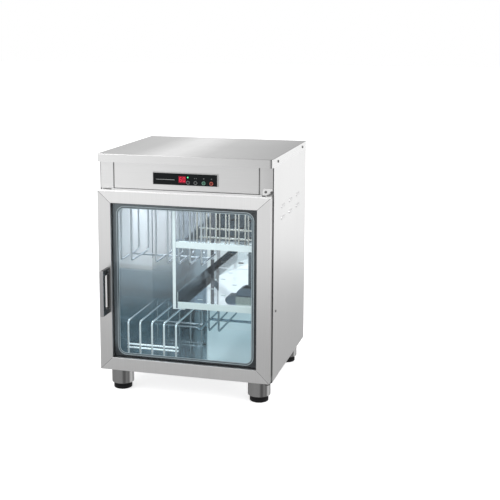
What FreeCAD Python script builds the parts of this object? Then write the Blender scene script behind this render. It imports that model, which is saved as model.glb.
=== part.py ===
import FreeCAD, Part
import math
import os

V = FreeCAD.Vector

# ---------------------------------------------------------------------------
# Driving dimensions, millimetres.
# Working frame: X to the right, Y to the back with Y = 0 on the front face of
# the cabinet body, Z up from the surface the feet stand on.
# Every piece is shifted by -Y_CENTRE when it is written, so that the finished
# frame has its origin under the middle of the whole object.
# ---------------------------------------------------------------------------
WIDTH = 500.0            # body and worktop width
DEPTH = 430.0            # body depth, front face to rear face
HEIGHT = 690.0           # feet to worktop surface
T = 1.2                  # sheet thickness

LIP_OUT = 20.0           # worktop nosing ahead of the body
LIP_H = 23.5             # height of the worktop's skirts
TOP_Z = HEIGHT - LIP_H   # top edge of the body panels

BODY_Z = 68.0            # underside of the body
POST_IN = 210.5          # inner edge of the front posts
POST_OUT = 246.5         # outer edge of the front posts
FASCIA_HALF = 207.5      # half width of the fascia panel
FASCIA_Z = 591.5         # lower edge of the fascia panel

DOOR_HALF = 247.5        # half width of the door
DOOR_Z0, DOOR_Z1 = 70.0, 588.0
DOOR_Y0 = -30.0          # front face of the door
DOOR_Y1 = -11.5          # back of the door rails
WIN_HALF = 210.0         # half width of the window opening
WIN_Z0, WIN_Z1 = 107.0, 553.5
REBATE = 7.5             # how far the glass runs behind the rails
GLASS_Y0, GLASS_T = -19.0, 5.0
SEAL_Y1 = -0.5           # face of the door seal, just clear of the posts

CH_X = 222.0             # inner half width of the chamber
CH_Y = 345.0             # face of the chamber's back wall
CH_Z0, CH_Z1 = 98.8, 574.0   # chamber floor and ceiling faces
OPEN_Z0, OPEN_Z1 = 104.0, 568.0

HINGE_X, HINGE_Y = 238.0, -15.0   # door pivot axis
PIN_R = 3.0
BUSH_BORE_R = 3.05
BUSH_R = 5.0

LEG_X, LEG_YF, LEG_YB = 204.0, 33.0, 392.0
SLEEVE_R, SLEEVE_Z0 = 32.0, 18.0
FOOT_R, FOOT_H = 26.5, 26.0
STEM_R, STEM_BORE_R = 5.0, 5.06

PANEL_HALF = 93.5        # control bezel half width
PANEL_Z0, PANEL_Z1 = 606.5, 641.5
BUTTON_X = (8.9, 30.6, 53.7, 75.6)
BUTTON_Z = 616.0
BUTTON_R = 5.5
BUTTON_TRAVEL = 1.0
WINDOW_X0, WINDOW_X1 = -18.5, 2.3
WINDOW_Z0, WINDOW_Z1 = 614.2, 632.8

HANDLE_X0, HANDLE_X1 = -225.0, -214.5
HANDLE_Z0, HANDLE_Z1 = 239.0, 369.0
HANDLE_Y0 = -80.0        # front of the handle

WIRE_R = 2.7             # rack wire radius
BOARD_HOOP_X = (-181.0, -145.0, -109.0, -73.0, -37.0)
BOARD_Y0, BOARD_Y1, BOARD_Z = 21.0, 270.0, 203.0
HANG_HOOP_X = (-206.0, -175.0, -101.0, -66.0, -33.5, 0.0, 34.0)
HANG_Y0, HANG_Y1, HANG_Z = 40.0, 183.0, 377.0
KNIFE_HOOP_X = (15.0, 43.0, 71.0, 99.0, 127.0, 155.0, 183.0)
KNIFE_Y0, KNIFE_Y1, KNIFE_Z = 60.0, 96.0, 420.0
HOOK_X = (20.0, 49.0, 78.0)
HOOK_Y0, HOOK_Y1, HOOK_Z = 60.0, 256.0, 180.0

STRAP_X0, STRAP_X1 = -43.5, -34.5
REAR_STRAP_X0, REAR_STRAP_X1, REAR_STRAP_Y = -19.0, -8.5, 309.0
SHELF_X0, SHELF_X1 = -31.0, 221.5
SHELF_Y0, SHELF_Y1 = 20.0, 342.0
SHELF_Z = 271.0          # top of the perforated shelf
SHELF_FLANGE = 18.5      # front flange, turned down
SHELF_SIDE = 28.0        # left upstand
SHELF_REAR = 24.0        # rear upstand
BAR_Z0, BAR_Z1 = 427.0, 444.5

FAN_X, FAN_Z = 90.0, 330.0
FAN_Y0, FAN_Y1 = 352.0, 382.0
FAN_R = 56.0
SHAFT_R, SHAFT_BORE_R = 3.0, 3.06

GLAND_Y1 = DEPTH + 15.0
Y_CENTRE = (HANDLE_Y0 + GLAND_Y1) / 2.0

parts = {}


# ---------------------------------------------------------------------------
# Small helpers
# ---------------------------------------------------------------------------
def box(x0, x1, y0, y1, z0, z1):
    x0, x1 = min(x0, x1), max(x0, x1)
    y0, y1 = min(y0, y1), max(y0, y1)
    z0, z1 = min(z0, z1), max(z0, z1)
    return Part.makeBox(x1 - x0, y1 - y0, z1 - z0, V(x0, y0, z0))


def cyl(x, y, z, r, h, d=(0, 0, 1)):
    return Part.makeCylinder(r, h, V(x, y, z), V(*d))


def cone(x, y, z, r0, r1, h, d=(0, 0, 1)):
    return Part.makeCone(r0, r1, h, V(x, y, z), V(*d))


def fuse(*shapes):
    out = shapes[0]
    if len(shapes) > 1:
        out = out.fuse(list(shapes[1:]))
    return out.removeSplitter()


def cut(a, *others):
    return a.cut(list(others)) if others else a


def rounded(shape, radius, test):
    edges = [e for e in shape.Edges if test(e)]
    return shape.makeFillet(radius, edges) if edges else shape


def along(e, axis):
    if e.Curve.TypeId != "Part::GeomLine":
        return False
    d = e.Curve.Direction
    return abs(abs((d.x, d.y, d.z)[axis]) - 1.0) < 1e-6


def mid(e):
    b = e.BoundBox
    return ((b.XMin + b.XMax) / 2, (b.YMin + b.YMax) / 2, (b.ZMin + b.ZMax) / 2)


def near(a, b, tol=0.02):
    return abs(a - b) < tol


def slot_prism(cx, cz, length, height, y0, y1):
    """Oblong hole through a wall that faces Y, long axis along X."""
    r = height / 2
    h = length / 2 - r
    y0, y1 = min(y0, y1), max(y0, y1)
    a = box(cx - h, cx + h, y0, y1, cz - r, cz + r)
    b = cyl(cx - h, y0, cz, r, y1 - y0, (0, 1, 0))
    c = cyl(cx + h, y0, cz, r, y1 - y0, (0, 1, 0))
    return a.fuse([b, c]).removeSplitter()


def slot_prism_z(cx, cy, length, width, z0, z1):
    """Oblong hole through a plate that faces Z, long axis along X."""
    r = width / 2
    h = length / 2 - r
    a = box(cx - h, cx + h, cy - r, cy + r, z0, z1)
    b = cyl(cx - h, cy, z0, r, z1 - z0)
    c = cyl(cx + h, cy, z0, r, z1 - z0)
    return a.fuse([b, c]).removeSplitter()


def bent_wire(points, r, bends):
    """Round wire along straight runs joined by tangent arcs; points are
    vectors in one plane and bends is one radius per inner point."""
    pts = [V(*p) for p in points]
    edges = []
    start = pts[0]
    for i in range(1, len(pts) - 1):
        p, a, b = pts[i], pts[i - 1], pts[i + 1]
        u = (a - p).normalize()
        w = (b - p).normalize()
        half = u.getAngle(w) / 2
        run = bends[i - 1] / math.tan(half)
        t0, t1 = p + u * run, p + w * run
        m = (u + w).normalize()
        c = p + m * (bends[i - 1] / math.sin(half))
        k = c - m * bends[i - 1]
        edges.append(Part.LineSegment(start, t0).toShape())
        edges.append(Part.Arc(t0, k, t1).toShape())
        start = t1
    edges.append(Part.LineSegment(start, pts[-1]).toShape())
    path = Part.Wire(edges)
    d = (pts[1] - pts[0]).normalize()
    ring = Part.Wire([Part.Circle(pts[0], d, r).toShape()])
    return path.makePipeShell([ring], True, False)


def rod(a, b, r):
    a, b = V(*a), V(*b)
    d = b - a
    return Part.makeCylinder(r, d.Length, a, d)


def group(solids):
    return Part.Compound(solids)


# ---------------------------------------------------------------------------
# Screws: position of the bearing face, and the direction the head looks.
# ---------------------------------------------------------------------------
SCREWS = []
for sx in (-1, 1):
    for sy in (46.0, 376.5):
        SCREWS.append(((sx * WIDTH / 2, sy, 677.5), (sx, 0, 0)))
    SCREWS.append(((sx * WIDTH / 2, 29.0, 263.0), (sx, 0, 0)))
BRACKET_SCREWS = [((227.4, -2.5, 599.6), (0, -1, 0)), ((243.6, -2.5, 599.0), (0, -1, 0)),
                  ((243.2, 14.0, 65.2), (0, 0, -1)), ((243.2, 74.0, 65.2), (0, 0, -1))]
REAR_SCREWS = [((x, DEPTH, z), (0, 1, 0)) for z in (96.0, 370.0, 650.0) for x in (-236.0, 236.0)]
SCREWS = SCREWS + BRACKET_SCREWS + REAR_SCREWS
HEAD_R, HEAD_H, SHANK_R, SHANK_L = 3.6, 2.0, 2.0, 6.0


def screw(pos, d):
    p, n = V(*pos), V(*d)
    head = Part.makeCylinder(HEAD_R, HEAD_H, p, n)
    rim = [e for e in head.Edges if e.Curve.TypeId == "Part::GeomCircle"
           and (e.CenterOfMass - (p + n * HEAD_H)).Length < 0.01]
    head = head.makeFillet(1.2, rim)
    shank = Part.makeCylinder(SHANK_R, SHANK_L, p - n * SHANK_L, n)
    s = head.fuse(shank).removeSplitter()
    # cross recess: two blades at right angles
    turn = FreeCAD.Rotation(V(0, 0, 1), n)
    for lx, ly in ((4.0, 0.8), (0.8, 4.0)):
        blade = Part.makeBox(lx, ly, 1.5, V(-lx / 2, -ly / 2, HEAD_H - 1.0))
        blade.Placement = FreeCAD.Placement(p, turn)
        s = s.cut(blade)
    return s


def shank_hole(pos, d):
    p, n = V(*pos), V(*d)
    return Part.makeCylinder(SHANK_R + 0.05, SHANK_L + 1.0, p - n * (SHANK_L + 0.5), n)


HOLES = [shank_hole(p, d) for p, d in SCREWS]


def drilled(shape):
    b = shape.BoundBox
    hit = [h for h in HOLES if b.intersect(h.BoundBox)]
    return shape.cut(hit) if hit else shape


# ---------------------------------------------------------------------------
# Worktop: folded sheet with nosing, side skirts and rear skirt
# ---------------------------------------------------------------------------
h = WIDTH / 2
w = box(-h, h, -LIP_OUT, DEPTH, TOP_Z, HEIGHT)
w = rounded(w, 4.0, lambda e: along(e, 2) and near(mid(e)[1], -LIP_OUT))
w = rounded(w, 2.2, lambda e: near(e.BoundBox.ZMin, HEIGHT) and near(e.BoundBox.ZMax, HEIGHT))
cav = box(-h + T, h - T, -LIP_OUT + T, DEPTH - T, TOP_Z, HEIGHT - T)
cav = rounded(cav, 2.8, lambda e: along(e, 2) and near(mid(e)[1], -LIP_OUT + T))
w = cut(w, cav)
ret = box(-h + T + 3.2, h - T - 3.2, -LIP_OUT + 0.6, 12.0, TOP_Z, TOP_Z + T)
w = fuse(w, ret)
parts["worktop"] = drilled(w)

# ---------------------------------------------------------------------------
# Outer side panels with pressed louvres and the joggled edge behind the skirt
# ---------------------------------------------------------------------------
LOUVRE_Y = (112.0, 211.0, 310.0)
LOUVRE_Z = (545.0, 512.0)


def side_panel():
    p = box(h - T, h, 0, DEPTH, BODY_Z, TOP_Z)
    jog = box(h - 2 * T, h - T, 24, DEPTH - 24, TOP_Z - 16, TOP_Z + 18)
    p = fuse(p, jog)
    c0 = h - 3.5
    for ly in LOUVRE_Y:
        for lz in LOUVRE_Z:
            out = fuse(cyl(c0, ly - 18, lz, 6.0, 36, (0, 1, 0)),
                       Part.makeSphere(6.0, V(c0, ly - 18, lz)), Part.makeSphere(6.0, V(c0, ly + 18, lz)))
            inn = fuse(cyl(c0, ly - 18, lz, 4.9, 36, (0, 1, 0)),
                       Part.makeSphere(4.9, V(c0, ly - 18, lz)), Part.makeSphere(4.9, V(c0, ly + 18, lz)))
            out = out.common(box(h - 1.0, h + 10, ly - 40, ly + 40, lz - 20, lz + 20))
            p = p.fuse(out).cut(inn)
            p = p.cut(box(h - 0.2, h + 5, ly - 15, ly + 15, lz - 6.5, lz - 3.0))
    return p.removeSplitter()


right = side_panel()
mirror = right.mirror(V(0, 0, 0), V(1, 0, 0))
parts["right_side_panel"] = drilled(right)
parts["left_side_panel"] = drilled(mirror)

# ---------------------------------------------------------------------------
# Rear panel with vent slots and the hole for the mains gland
# ---------------------------------------------------------------------------
rear = box(-h + T + 0.1, h - T - 0.1, DEPTH - T, DEPTH, BODY_Z + 1.5, TOP_Z - 0.1)
vents = []
for i in range(9):
    vents.append(slot_prism(-150.0 + 0.0, 600.0 + i * 6.0 - 0.0, 90.0, 3.0, DEPTH - 5, DEPTH + 5))
for i in range(12):
    vents.append(slot_prism(FAN_X, 290.0 + i * 7.0, 80.0, 3.2, DEPTH - 5, DEPTH + 5))
rear = cut(rear, *vents)
GLAND_X, GLAND_Z = -190.0, 130.0
rear = cut(rear, cyl(GLAND_X, DEPTH - 5, GLAND_Z, 8.1, 10, (0, 1, 0)))
parts["rear_panel"] = drilled(rear)

# Mains gland: flanged nylon body with a domed nut and an open bore
g = fuse(cyl(GLAND_X, DEPTH - 12, GLAND_Z, 8.0, 20, (0, 1, 0)),
         cyl(GLAND_X, DEPTH + 0.02, GLAND_Z, 12.0, 4, (0, 1, 0)),
         cone(GLAND_X, DEPTH + 4, GLAND_Z, 10.5, 8.0, 11, (0, 1, 0)),
         cyl(GLAND_X, DEPTH - 6.2, GLAND_Z, 11.5, 4.9, (0, 1, 0)))
g = cut(g, cyl(GLAND_X, DEPTH - 20, GLAND_Z, 4.5, 50, (0, 1, 0)))
parts["power_gland"] = g

# ---------------------------------------------------------------------------
# Base pan
# ---------------------------------------------------------------------------
b = box(-h + T + 0.15, h - T - 0.15, 1.4, DEPTH - T - 0.15, BODY_Z, BODY_Z + 14)
b = cut(b, box(-h + 2 * T + 0.15, h - 2 * T - 0.15, 1.4 + T, DEPTH - 2 * T - 0.15, BODY_Z + T, BODY_Z + 30))
parts["base_pan"] = drilled(b)

# ---------------------------------------------------------------------------
# Front frame: posts, header rail, lower rail
# ---------------------------------------------------------------------------
def post():
    face = box(POST_IN, POST_OUT, 0, T, BODY_Z, TOP_Z - 0.1)
    face = rounded(face, 0.9, lambda e: along(e, 2) and near(mid(e)[1], 0.0))
    inner = box(POST_IN, POST_IN + T, 1.0, 9.0, CH_Z0 + 0.1, CH_Z1 - 0.1)
    outer = box(POST_OUT - T, POST_OUT, 1.0, 14.0, BODY_Z + 14.2, TOP_Z - 0.1)
    return fuse(face, inner, outer)


rp = post()
lp = rp.mirror(V(0, 0, 0), V(1, 0, 0))
parts["right_front_post"] = drilled(rp)
parts["left_front_post"] = lp

hr = fuse(box(-POST_IN + 0.1, POST_IN - 0.1, 0, T, OPEN_Z1, FASCIA_Z - 1.0),
          box(-POST_IN + 0.1, POST_IN - 0.1, 0, 16.0, FASCIA_Z - 1.0 - T, FASCIA_Z - 1.0),
          box(-POST_IN + 0.1, POST_IN - 0.1, 0, 9.0, OPEN_Z1, OPEN_Z1 + T))
parts["header_rail"] = hr

lr = fuse(box(-POST_IN + 0.1, POST_IN - 0.1, 0, T, BODY_Z, OPEN_Z0),
          box(-POST_IN + 0.1, POST_IN - 0.1, 0, 9.0, OPEN_Z0 - T, OPEN_Z0))
parts["lower_front_rail"] = lr

# ---------------------------------------------------------------------------
# Fascia panel with the cut-out behind the control bezel
# ---------------------------------------------------------------------------
f = fuse(box(-FASCIA_HALF, FASCIA_HALF, 0, T, FASCIA_Z, TOP_Z - 0.1),
         box(-FASCIA_HALF, -FASCIA_HALF + T, 0, 15, FASCIA_Z, TOP_Z - 0.1),
         box(FASCIA_HALF - T, FASCIA_HALF, 0, 15, FASCIA_Z, TOP_Z - 0.1),
         box(-FASCIA_HALF, FASCIA_HALF, 0, 12, FASCIA_Z, FASCIA_Z + T))
f = rounded(f, 1.0, lambda e: along(e, 2) and near(mid(e)[1], 0.0) and e.Length > 60)
f = rounded(f, 1.0, lambda e: along(e, 0) and near(mid(e)[1], 0.0) and near(mid(e)[2], FASCIA_Z))
f = cut(f, box(-24, 84.5, -1, T + 1, PANEL_Z0 + 2, PANEL_Z1 - 4))
# four welded studs carry the control board behind the panel
BOARD_Y = 12.0
STUDS = [(x, z) for x in (-79.0, 91.0) for z in (607.0, 643.0)]
f = fuse(f, *[cyl(x, T - 0.2, z, 3.0, BOARD_Y - T + 0.2, (0, 1, 0)) for x, z in STUDS],
         *[cyl(x, BOARD_Y - 0.5, z, 1.6, 4.0, (0, 1, 0)) for x, z in STUDS])
parts["fascia_panel"] = f

# ---------------------------------------------------------------------------
# Chamber liner: floor, ceiling, two walls, perforated back wall
# ---------------------------------------------------------------------------
floor = box(-CH_X - T, CH_X + T, 1.4, CH_Y + T, CH_Z0 - T, CH_Z0)
floor = cut(floor, cyl(0, 180, CH_Z0 - 5, 6.0, 10))
parts["chamber_floor"] = floor
ceil = box(-CH_X - T, CH_X + T, 1.4, CH_Y + T, CH_Z1, CH_Z1 + T)
parts["chamber_ceiling"] = ceil
parts["chamber_left_wall"] = box(-CH_X - T, -CH_X, 1.4, CH_Y, CH_Z0, CH_Z1)
parts["chamber_right_wall"] = box(CH_X, CH_X + T, 1.4, CH_Y, CH_Z0, CH_Z1)

back = box(-CH_X - T, CH_X + T, CH_Y, CH_Y + T, CH_Z0, CH_Z1)
slots = []
for j in range(9):
    zz = 314.0 + j * 26.8
    for i in range(4):
        xx = (40.0 if j % 2 else 12.0) + i * 56.0
        if not (abs(xx - 196) < 14 and abs(zz - 356) < 8):
            slots.append(slot_prism(xx, zz, 17.0, 5.0, CH_Y - 2, CH_Y + 5))
back = cut(back, *slots)
parts["chamber_back_wall"] = back

# ---------------------------------------------------------------------------
# Control panel: bezel, display lens, display block, board, buttons
# ---------------------------------------------------------------------------
bz = box(-PANEL_HALF, PANEL_HALF, -2.5, 0, PANEL_Z0, PANEL_Z1)
bz = rounded(bz, 1.6, lambda e: along(e, 1))
bz = rounded(bz, 0.8, lambda e: near(e.BoundBox.YMin, -2.5) and near(e.BoundBox.YMax, -2.5))
bz = cut(bz, box(WINDOW_X0 - 0.2, WINDOW_X1 + 0.2, -5, 2, WINDOW_Z0 - 0.2, WINDOW_Z1 + 0.2),
         cyl(8.7, -5, 630.3, 1.6, 10, (0, 1, 0)),
         *[cyl(x, -5, BUTTON_Z, BUTTON_R + 0.3, 10, (0, 1, 0)) for x in BUTTON_X])
parts["control_bezel"] = bz

parts["display_window"] = box(WINDOW_X0, WINDOW_X1, -2.4, -0.9, WINDOW_Z0, WINDOW_Z1)

# populated board: relays, transformer, chip, capacitor, four key switches,
# the digit display and the status lamp, all soldered to it
pcb = box(-84, 96, BOARD_Y, BOARD_Y + 1.6, 602, 648)
chips = [box(-70, -48, BOARD_Y + 1.0, BOARD_Y + 17, 606, 624),
         box(-40, -20, BOARD_Y + 1.0, BOARD_Y + 17, 606, 624),
         box(-72, -38, BOARD_Y + 1.0, BOARD_Y + 24, 628, 645),
         box(28, 46, BOARD_Y + 1.0, BOARD_Y + 4.2, 622, 636),
         cyl(64, BOARD_Y + 1.0, 634, 5.0, 14.6, (0, 1, 0))]
taps = [box(x - 3, x + 3, BOARD_Y - 2.4, BOARD_Y + 0.5, BUTTON_Z - 3, BUTTON_Z + 3) for x in BUTTON_X]
display = [box(WINDOW_X0 + 0.6, WINDOW_X1 - 0.6, -0.7, 7.0, WINDOW_Z0 + 0.6, WINDOW_Z1 - 0.6)]
for i in range(5):
    for zz in (WINDOW_Z0 + 3.0, WINDOW_Z1 - 3.0):
        display.append(cyl(WINDOW_X0 + 3.0 + i * 3.6, 6.5, zz, 0.5, 6.0, (0, 1, 0)))
led = [cyl(8.7, -2.9, 630.3, 1.5, 6.0, (0, 1, 0)), Part.makeSphere(1.5, V(8.7, -2.9, 630.3)),
       cyl(8.0, 3.0, 630.3, 0.4, 9.5, (0, 1, 0)), cyl(9.4, 3.0, 630.3, 0.4, 9.5, (0, 1, 0))]
pcb = fuse(pcb, *chips, *taps, *display, *led)
pcb = cut(pcb, *[cyl(x, BOARD_Y - 1, z, 1.7, 6, (0, 1, 0)) for x, z in STUDS])
parts["control_board"] = pcb

NAMES = ("menu", "time", "start", "stop")
for name, x in zip(NAMES, BUTTON_X):
    cap = cyl(x, -4.0, BUTTON_Z, BUTTON_R, 4.1, (0, 1, 0))
    cap = rounded(cap, 1.0, lambda e: e.Curve.TypeId == "Part::GeomCircle" and near(mid(e)[1], -4.0))
    dish = Part.makeSphere(14.0, V(x, -4.0 - 13.55, BUTTON_Z))
    cap = cap.cut(dish)
    flange = cyl(x, 0.06, BUTTON_Z, BUTTON_R + 1.3, 1.0, (0, 1, 0))
    stem = cyl(x, 0.5, BUTTON_Z, 1.8, 7.9, (0, 1, 0))
    parts["%s_button" % name] = fuse(cap, flange, stem)

# ---------------------------------------------------------------------------
# Electrical compartment above the chamber
# ---------------------------------------------------------------------------
bal = box(40, 185, 230, 272, CH_Z1 + T, CH_Z1 + T + 28)
bal = rounded(bal, 2.0, lambda e: along(e, 0))
ears = fuse(box(28, 197, 240, 262, CH_Z1 + T, CH_Z1 + T + 2.0))
bal = fuse(bal, ears)
bal = cut(bal, cyl(33, 251, CH_Z1, 2.2, 10), cyl(192, 251, CH_Z1, 2.2, 10))
parts["lamp_ballast"] = bal

rs = box(-200, -178, T + 0.1, 8.5, 573.0 + 3.0, 573.0 + 11.0)
rs = rounded(rs, 1.0, lambda e: along(e, 1))
parts["reed_switch"] = rs

# ---------------------------------------------------------------------------
# Hot air: housing behind the back wall, ring heater, impeller, motor, probe
# ---------------------------------------------------------------------------
hs = box(FAN_X - 96, FAN_X + 96, CH_Y + T + 0.1, CH_Y + T + 40, FAN_Z - 96, FAN_Z + 96)
hs = rounded(hs, 4.0, lambda e: along(e, 1))
hs = cut(hs, box(FAN_X - 94.8, FAN_X + 94.8, CH_Y, CH_Y + 40, FAN_Z - 94.8, FAN_Z + 94.8))
hs = cut(hs, cyl(FAN_X, CH_Y, FAN_Z, 10.0, 80, (0, 1, 0)))
HEAT_R, HEAT_Y = 74.0, 366.0
terms = [(FAN_X - 20.0, FAN_Z - 71.25), (FAN_X + 20.0, FAN_Z - 71.25)]
hs = cut(hs, *[cyl(x, CH_Y, z, 4.3, 80, (0, 1, 0)) for x, z in terms])
parts["fan_housing"] = hs
HOUSE_Y1 = CH_Y + T + 40

gap = math.degrees(math.asin(20.0 / HEAT_R))
section = Part.Face(Part.Wire([Part.Circle(V(FAN_X, HEAT_Y, FAN_Z - HEAT_R), V(1, 0, 0), 3.5).toShape()]))
section.rotate(V(FAN_X, HEAT_Y, FAN_Z), V(0, 1, 0), gap)
ring = section.revolve(V(FAN_X, HEAT_Y, FAN_Z), V(0, 1, 0), 360 - 2 * gap)
legs = [fuse(cyl(x, HEAT_Y - 4.5, z, 4.0, 40, (0, 1, 0)), cyl(x, HEAT_Y + 30, z, 2.0, 14, (0, 1, 0))) for x, z in terms]
parts["heater_element"] = fuse(ring, *legs)

hub = cyl(FAN_X, FAN_Y0, FAN_Z, 9.0, FAN_Y1 - FAN_Y0, (0, 1, 0))
disc = cyl(FAN_X, FAN_Y1 - 1.5, FAN_Z, FAN_R, 1.5, (0, 1, 0))
blades = []
for i in range(12):
    bl = box(16.0, FAN_R - 1.0, FAN_Y0, FAN_Y1 - 1.0, -0.8, 0.8)
    bl.rotate(V(36, 0, 0), V(0, 1, 0), 28)
    bl.rotate(V(0, 0, 0), V(0, 1, 0), i * 30.0)
    bl.translate(V(FAN_X, 0, FAN_Z))
    blades.append(bl)
band = cut(cyl(FAN_X, FAN_Y0, FAN_Z, FAN_R, 3.0, (0, 1, 0)), cyl(FAN_X, FAN_Y0 - 1, FAN_Z, FAN_R - 3, 5, (0, 1, 0)))
imp = fuse(hub, disc, band, *blades)
imp = imp.common(cyl(FAN_X, FAN_Y0 - 1, FAN_Z, FAN_R, 60, (0, 1, 0)))
# the impeller is riveted to its shaft, which runs in the motor
imp = fuse(imp, cyl(FAN_X, FAN_Y0 + 6.0, FAN_Z, SHAFT_R, 50.0, (0, 1, 0)))
parts["fan_impeller"] = imp

MOTOR_Y0 = HOUSE_Y1
m = cyl(FAN_X, MOTOR_Y0 + 2, FAN_Z, 31.0, 32, (0, 1, 0))
m = rounded(m, 3.0, lambda e: e.Curve.TypeId == "Part::GeomCircle" and e.Curve.Radius > 30)
m = fuse(m, box(FAN_X - 38, FAN_X + 38, MOTOR_Y0, MOTOR_Y0 + 2.5, FAN_Z - 14, FAN_Z + 14),
         cyl(FAN_X, MOTOR_Y0, FAN_Z, 9.5, 4, (0, 1, 0)))
m = cut(m, cyl(FAN_X, MOTOR_Y0 - 1, FAN_Z, SHAFT_BORE_R, 26.0, (0, 1, 0)))
parts["fan_motor"] = m

pr = fuse(cyl(196, CH_Y - 26, 356, 3.0, 54, (0, 1, 0)), cyl(196, CH_Y + T, 356, 7.0, 4, (0, 1, 0)))
parts["chamber_back_wall"] = cut(parts["chamber_back_wall"], cyl(196, CH_Y - 5, 356, 3.05, 12, (0, 1, 0)))
parts["temperature_probe"] = pr

# ---------------------------------------------------------------------------
# Ultraviolet lamp under the rear of the ceiling
# ---------------------------------------------------------------------------
LAMP_Y, LAMP_Z = 288.0, 552.0
tube = cyl(-136, LAMP_Y, LAMP_Z, 8.0, 272, (1, 0, 0))
caps = [cyl(-144, LAMP_Y, LAMP_Z, 8.2, 9, (1, 0, 0)), cyl(135, LAMP_Y, LAMP_Z, 8.2, 9, (1, 0, 0))]
pins = []
for dz in (-2.4, 2.4):
    pins.append(cyl(-151, LAMP_Y, LAMP_Z + dz, 1.2, 8, (1, 0, 0)))
    pins.append(cyl(143, LAMP_Y, LAMP_Z + dz, 1.2, 8, (1, 0, 0)))
parts["uv_lamp"] = fuse(tube, *caps, *pins)
so = []
for sx in (-1, 1):
    s = box(sx * 144.1, sx * 158.0, LAMP_Y - 11, LAMP_Y + 11, LAMP_Z - 11, CH_Z1 - 0.0)
    s = rounded(s, 3.0, lambda e: along(e, 0) and mid(e)[2] < LAMP_Z)
    s = cut(s, box(sx * 143.0, sx * 152.0, LAMP_Y - 1.4, LAMP_Y + 1.4, LAMP_Z - 12, LAMP_Z + 5))
    so.append(s)
parts["lamp_sockets"] = group(so)

# ---------------------------------------------------------------------------
# Racks and shelf inside the chamber
# ---------------------------------------------------------------------------
rack = []
for x in BOARD_HOOP_X:
    rack.append(bent_wire([(x, BOARD_Y0, CH_Z0 + 0.1), (x, BOARD_Y0, BOARD_Z), (x, BOARD_Y1, BOARD_Z),
                           (x, BOARD_Y1, CH_Z0 + 0.1)], WIRE_R, (9.0, 9.0)))
for y in (BOARD_Y0 + 2 * WIRE_R + 0.02, BOARD_Y1 - 2 * WIRE_R - 0.02):
    for z in (133.0, 123.0):
        rack.append(rod((BOARD_HOOP_X[0] - 5, y, z), (BOARD_HOOP_X[-1] + 5, y, z), WIRE_R))
parts["board_rack"] = group(rack)

hang = []
for x in HANG_HOOP_X:
    hang.append(bent_wire([(x, HANG_Y0, CH_Z1 - 8.9), (x, HANG_Y0, HANG_Z), (x, HANG_Y1, HANG_Z),
                           (x, HANG_Y1, CH_Z1 - 8.9)], WIRE_R, (6.0, 12.0)))
hang.append(rod((HANG_HOOP_X[0] - 8, 146, HANG_Z - 2 * WIRE_R - 0.05),
                (HANG_HOOP_X[-1] + 6, 146, HANG_Z - 2 * WIRE_R - 0.05), WIRE_R))
for y in (HANG_Y0, HANG_Y1):
    hang.append(box(HANG_HOOP_X[0] - 10, HANG_HOOP_X[-1] + 8, y - 6, y + 6, CH_Z1 - 8.9, CH_Z1 - 6.9))
    for x in (HANG_HOOP_X[0] + 14, -50.0, HANG_HOOP_X[-1] - 14):
        hang.append(cyl(x, y, CH_Z1 - 6.9, 4.0, 6.9))
parts["hanging_rack"] = group(hang)

KW = 2.3                 # knife rack wire radius
kn = []
for x in KNIFE_HOOP_X:
    kn.append(bent_wire([(x, KNIFE_Y0, CH_Z1 - 8.9), (x, KNIFE_Y0, KNIFE_Z), (x, KNIFE_Y1, KNIFE_Z),
                         (x, KNIFE_Y1, CH_Z1 - 8.9)], KW, (7.0, 7.0)))
for z in (443.0, 469.0):
    kn.append(rod((KNIFE_HOOP_X[0] - 6, KNIFE_Y1 + 2 * KW + 0.02, z), (KNIFE_HOOP_X[-1] + 6, KNIFE_Y1 + 2 * KW + 0.02, z), KW))
kn.append(box(KNIFE_HOOP_X[0] - 10, KNIFE_HOOP_X[-1] + 10, KNIFE_Y0 - 6, KNIFE_Y1 + 6, CH_Z1 - 8.9, CH_Z1 - 6.9))
for x in (KNIFE_HOOP_X[0] + 14, KNIFE_HOOP_X[-1] - 14):
    kn.append(cyl(x, (KNIFE_Y0 + KNIFE_Y1) / 2, CH_Z1 - 6.9, 4.0, 6.9))
parts["knife_rack"] = group(kn)

# suspended frame: front and rear straps, shelf rails and the knife bay's front bar
bar = fuse(box(STRAP_X0, CH_X - 0.1, 17.6, 18.8, BAR_Z0, BAR_Z1),
           box(SHELF_X0, CH_X - 0.1, 17.6, 30.0, BAR_Z1 - T, BAR_Z1))
bar = rounded(bar, 0.8, lambda e: along(e, 0) and near(mid(e)[1], 17.6) and near(mid(e)[2], BAR_Z1))
RAIL_Z = SHELF_Z - SHELF_FLANGE
frame = [box(STRAP_X0, STRAP_X1, 15.6, 17.6, RAIL_Z - 2.2, CH_Z1),
         box(REAR_STRAP_X0, REAR_STRAP_X1, REAR_STRAP_Y, REAR_STRAP_Y + 2.0, RAIL_Z, CH_Z1),
         box(STRAP_X0, REAR_STRAP_X1, 17.6, REAR_STRAP_Y + 4.0, RAIL_Z - 2.2, RAIL_Z),
         box(CH_X - 14, CH_X, 17.6, 333.0, RAIL_Z - 2.2, RAIL_Z),
         bar]
parts["shelf_frame"] = group(frame)

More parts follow.
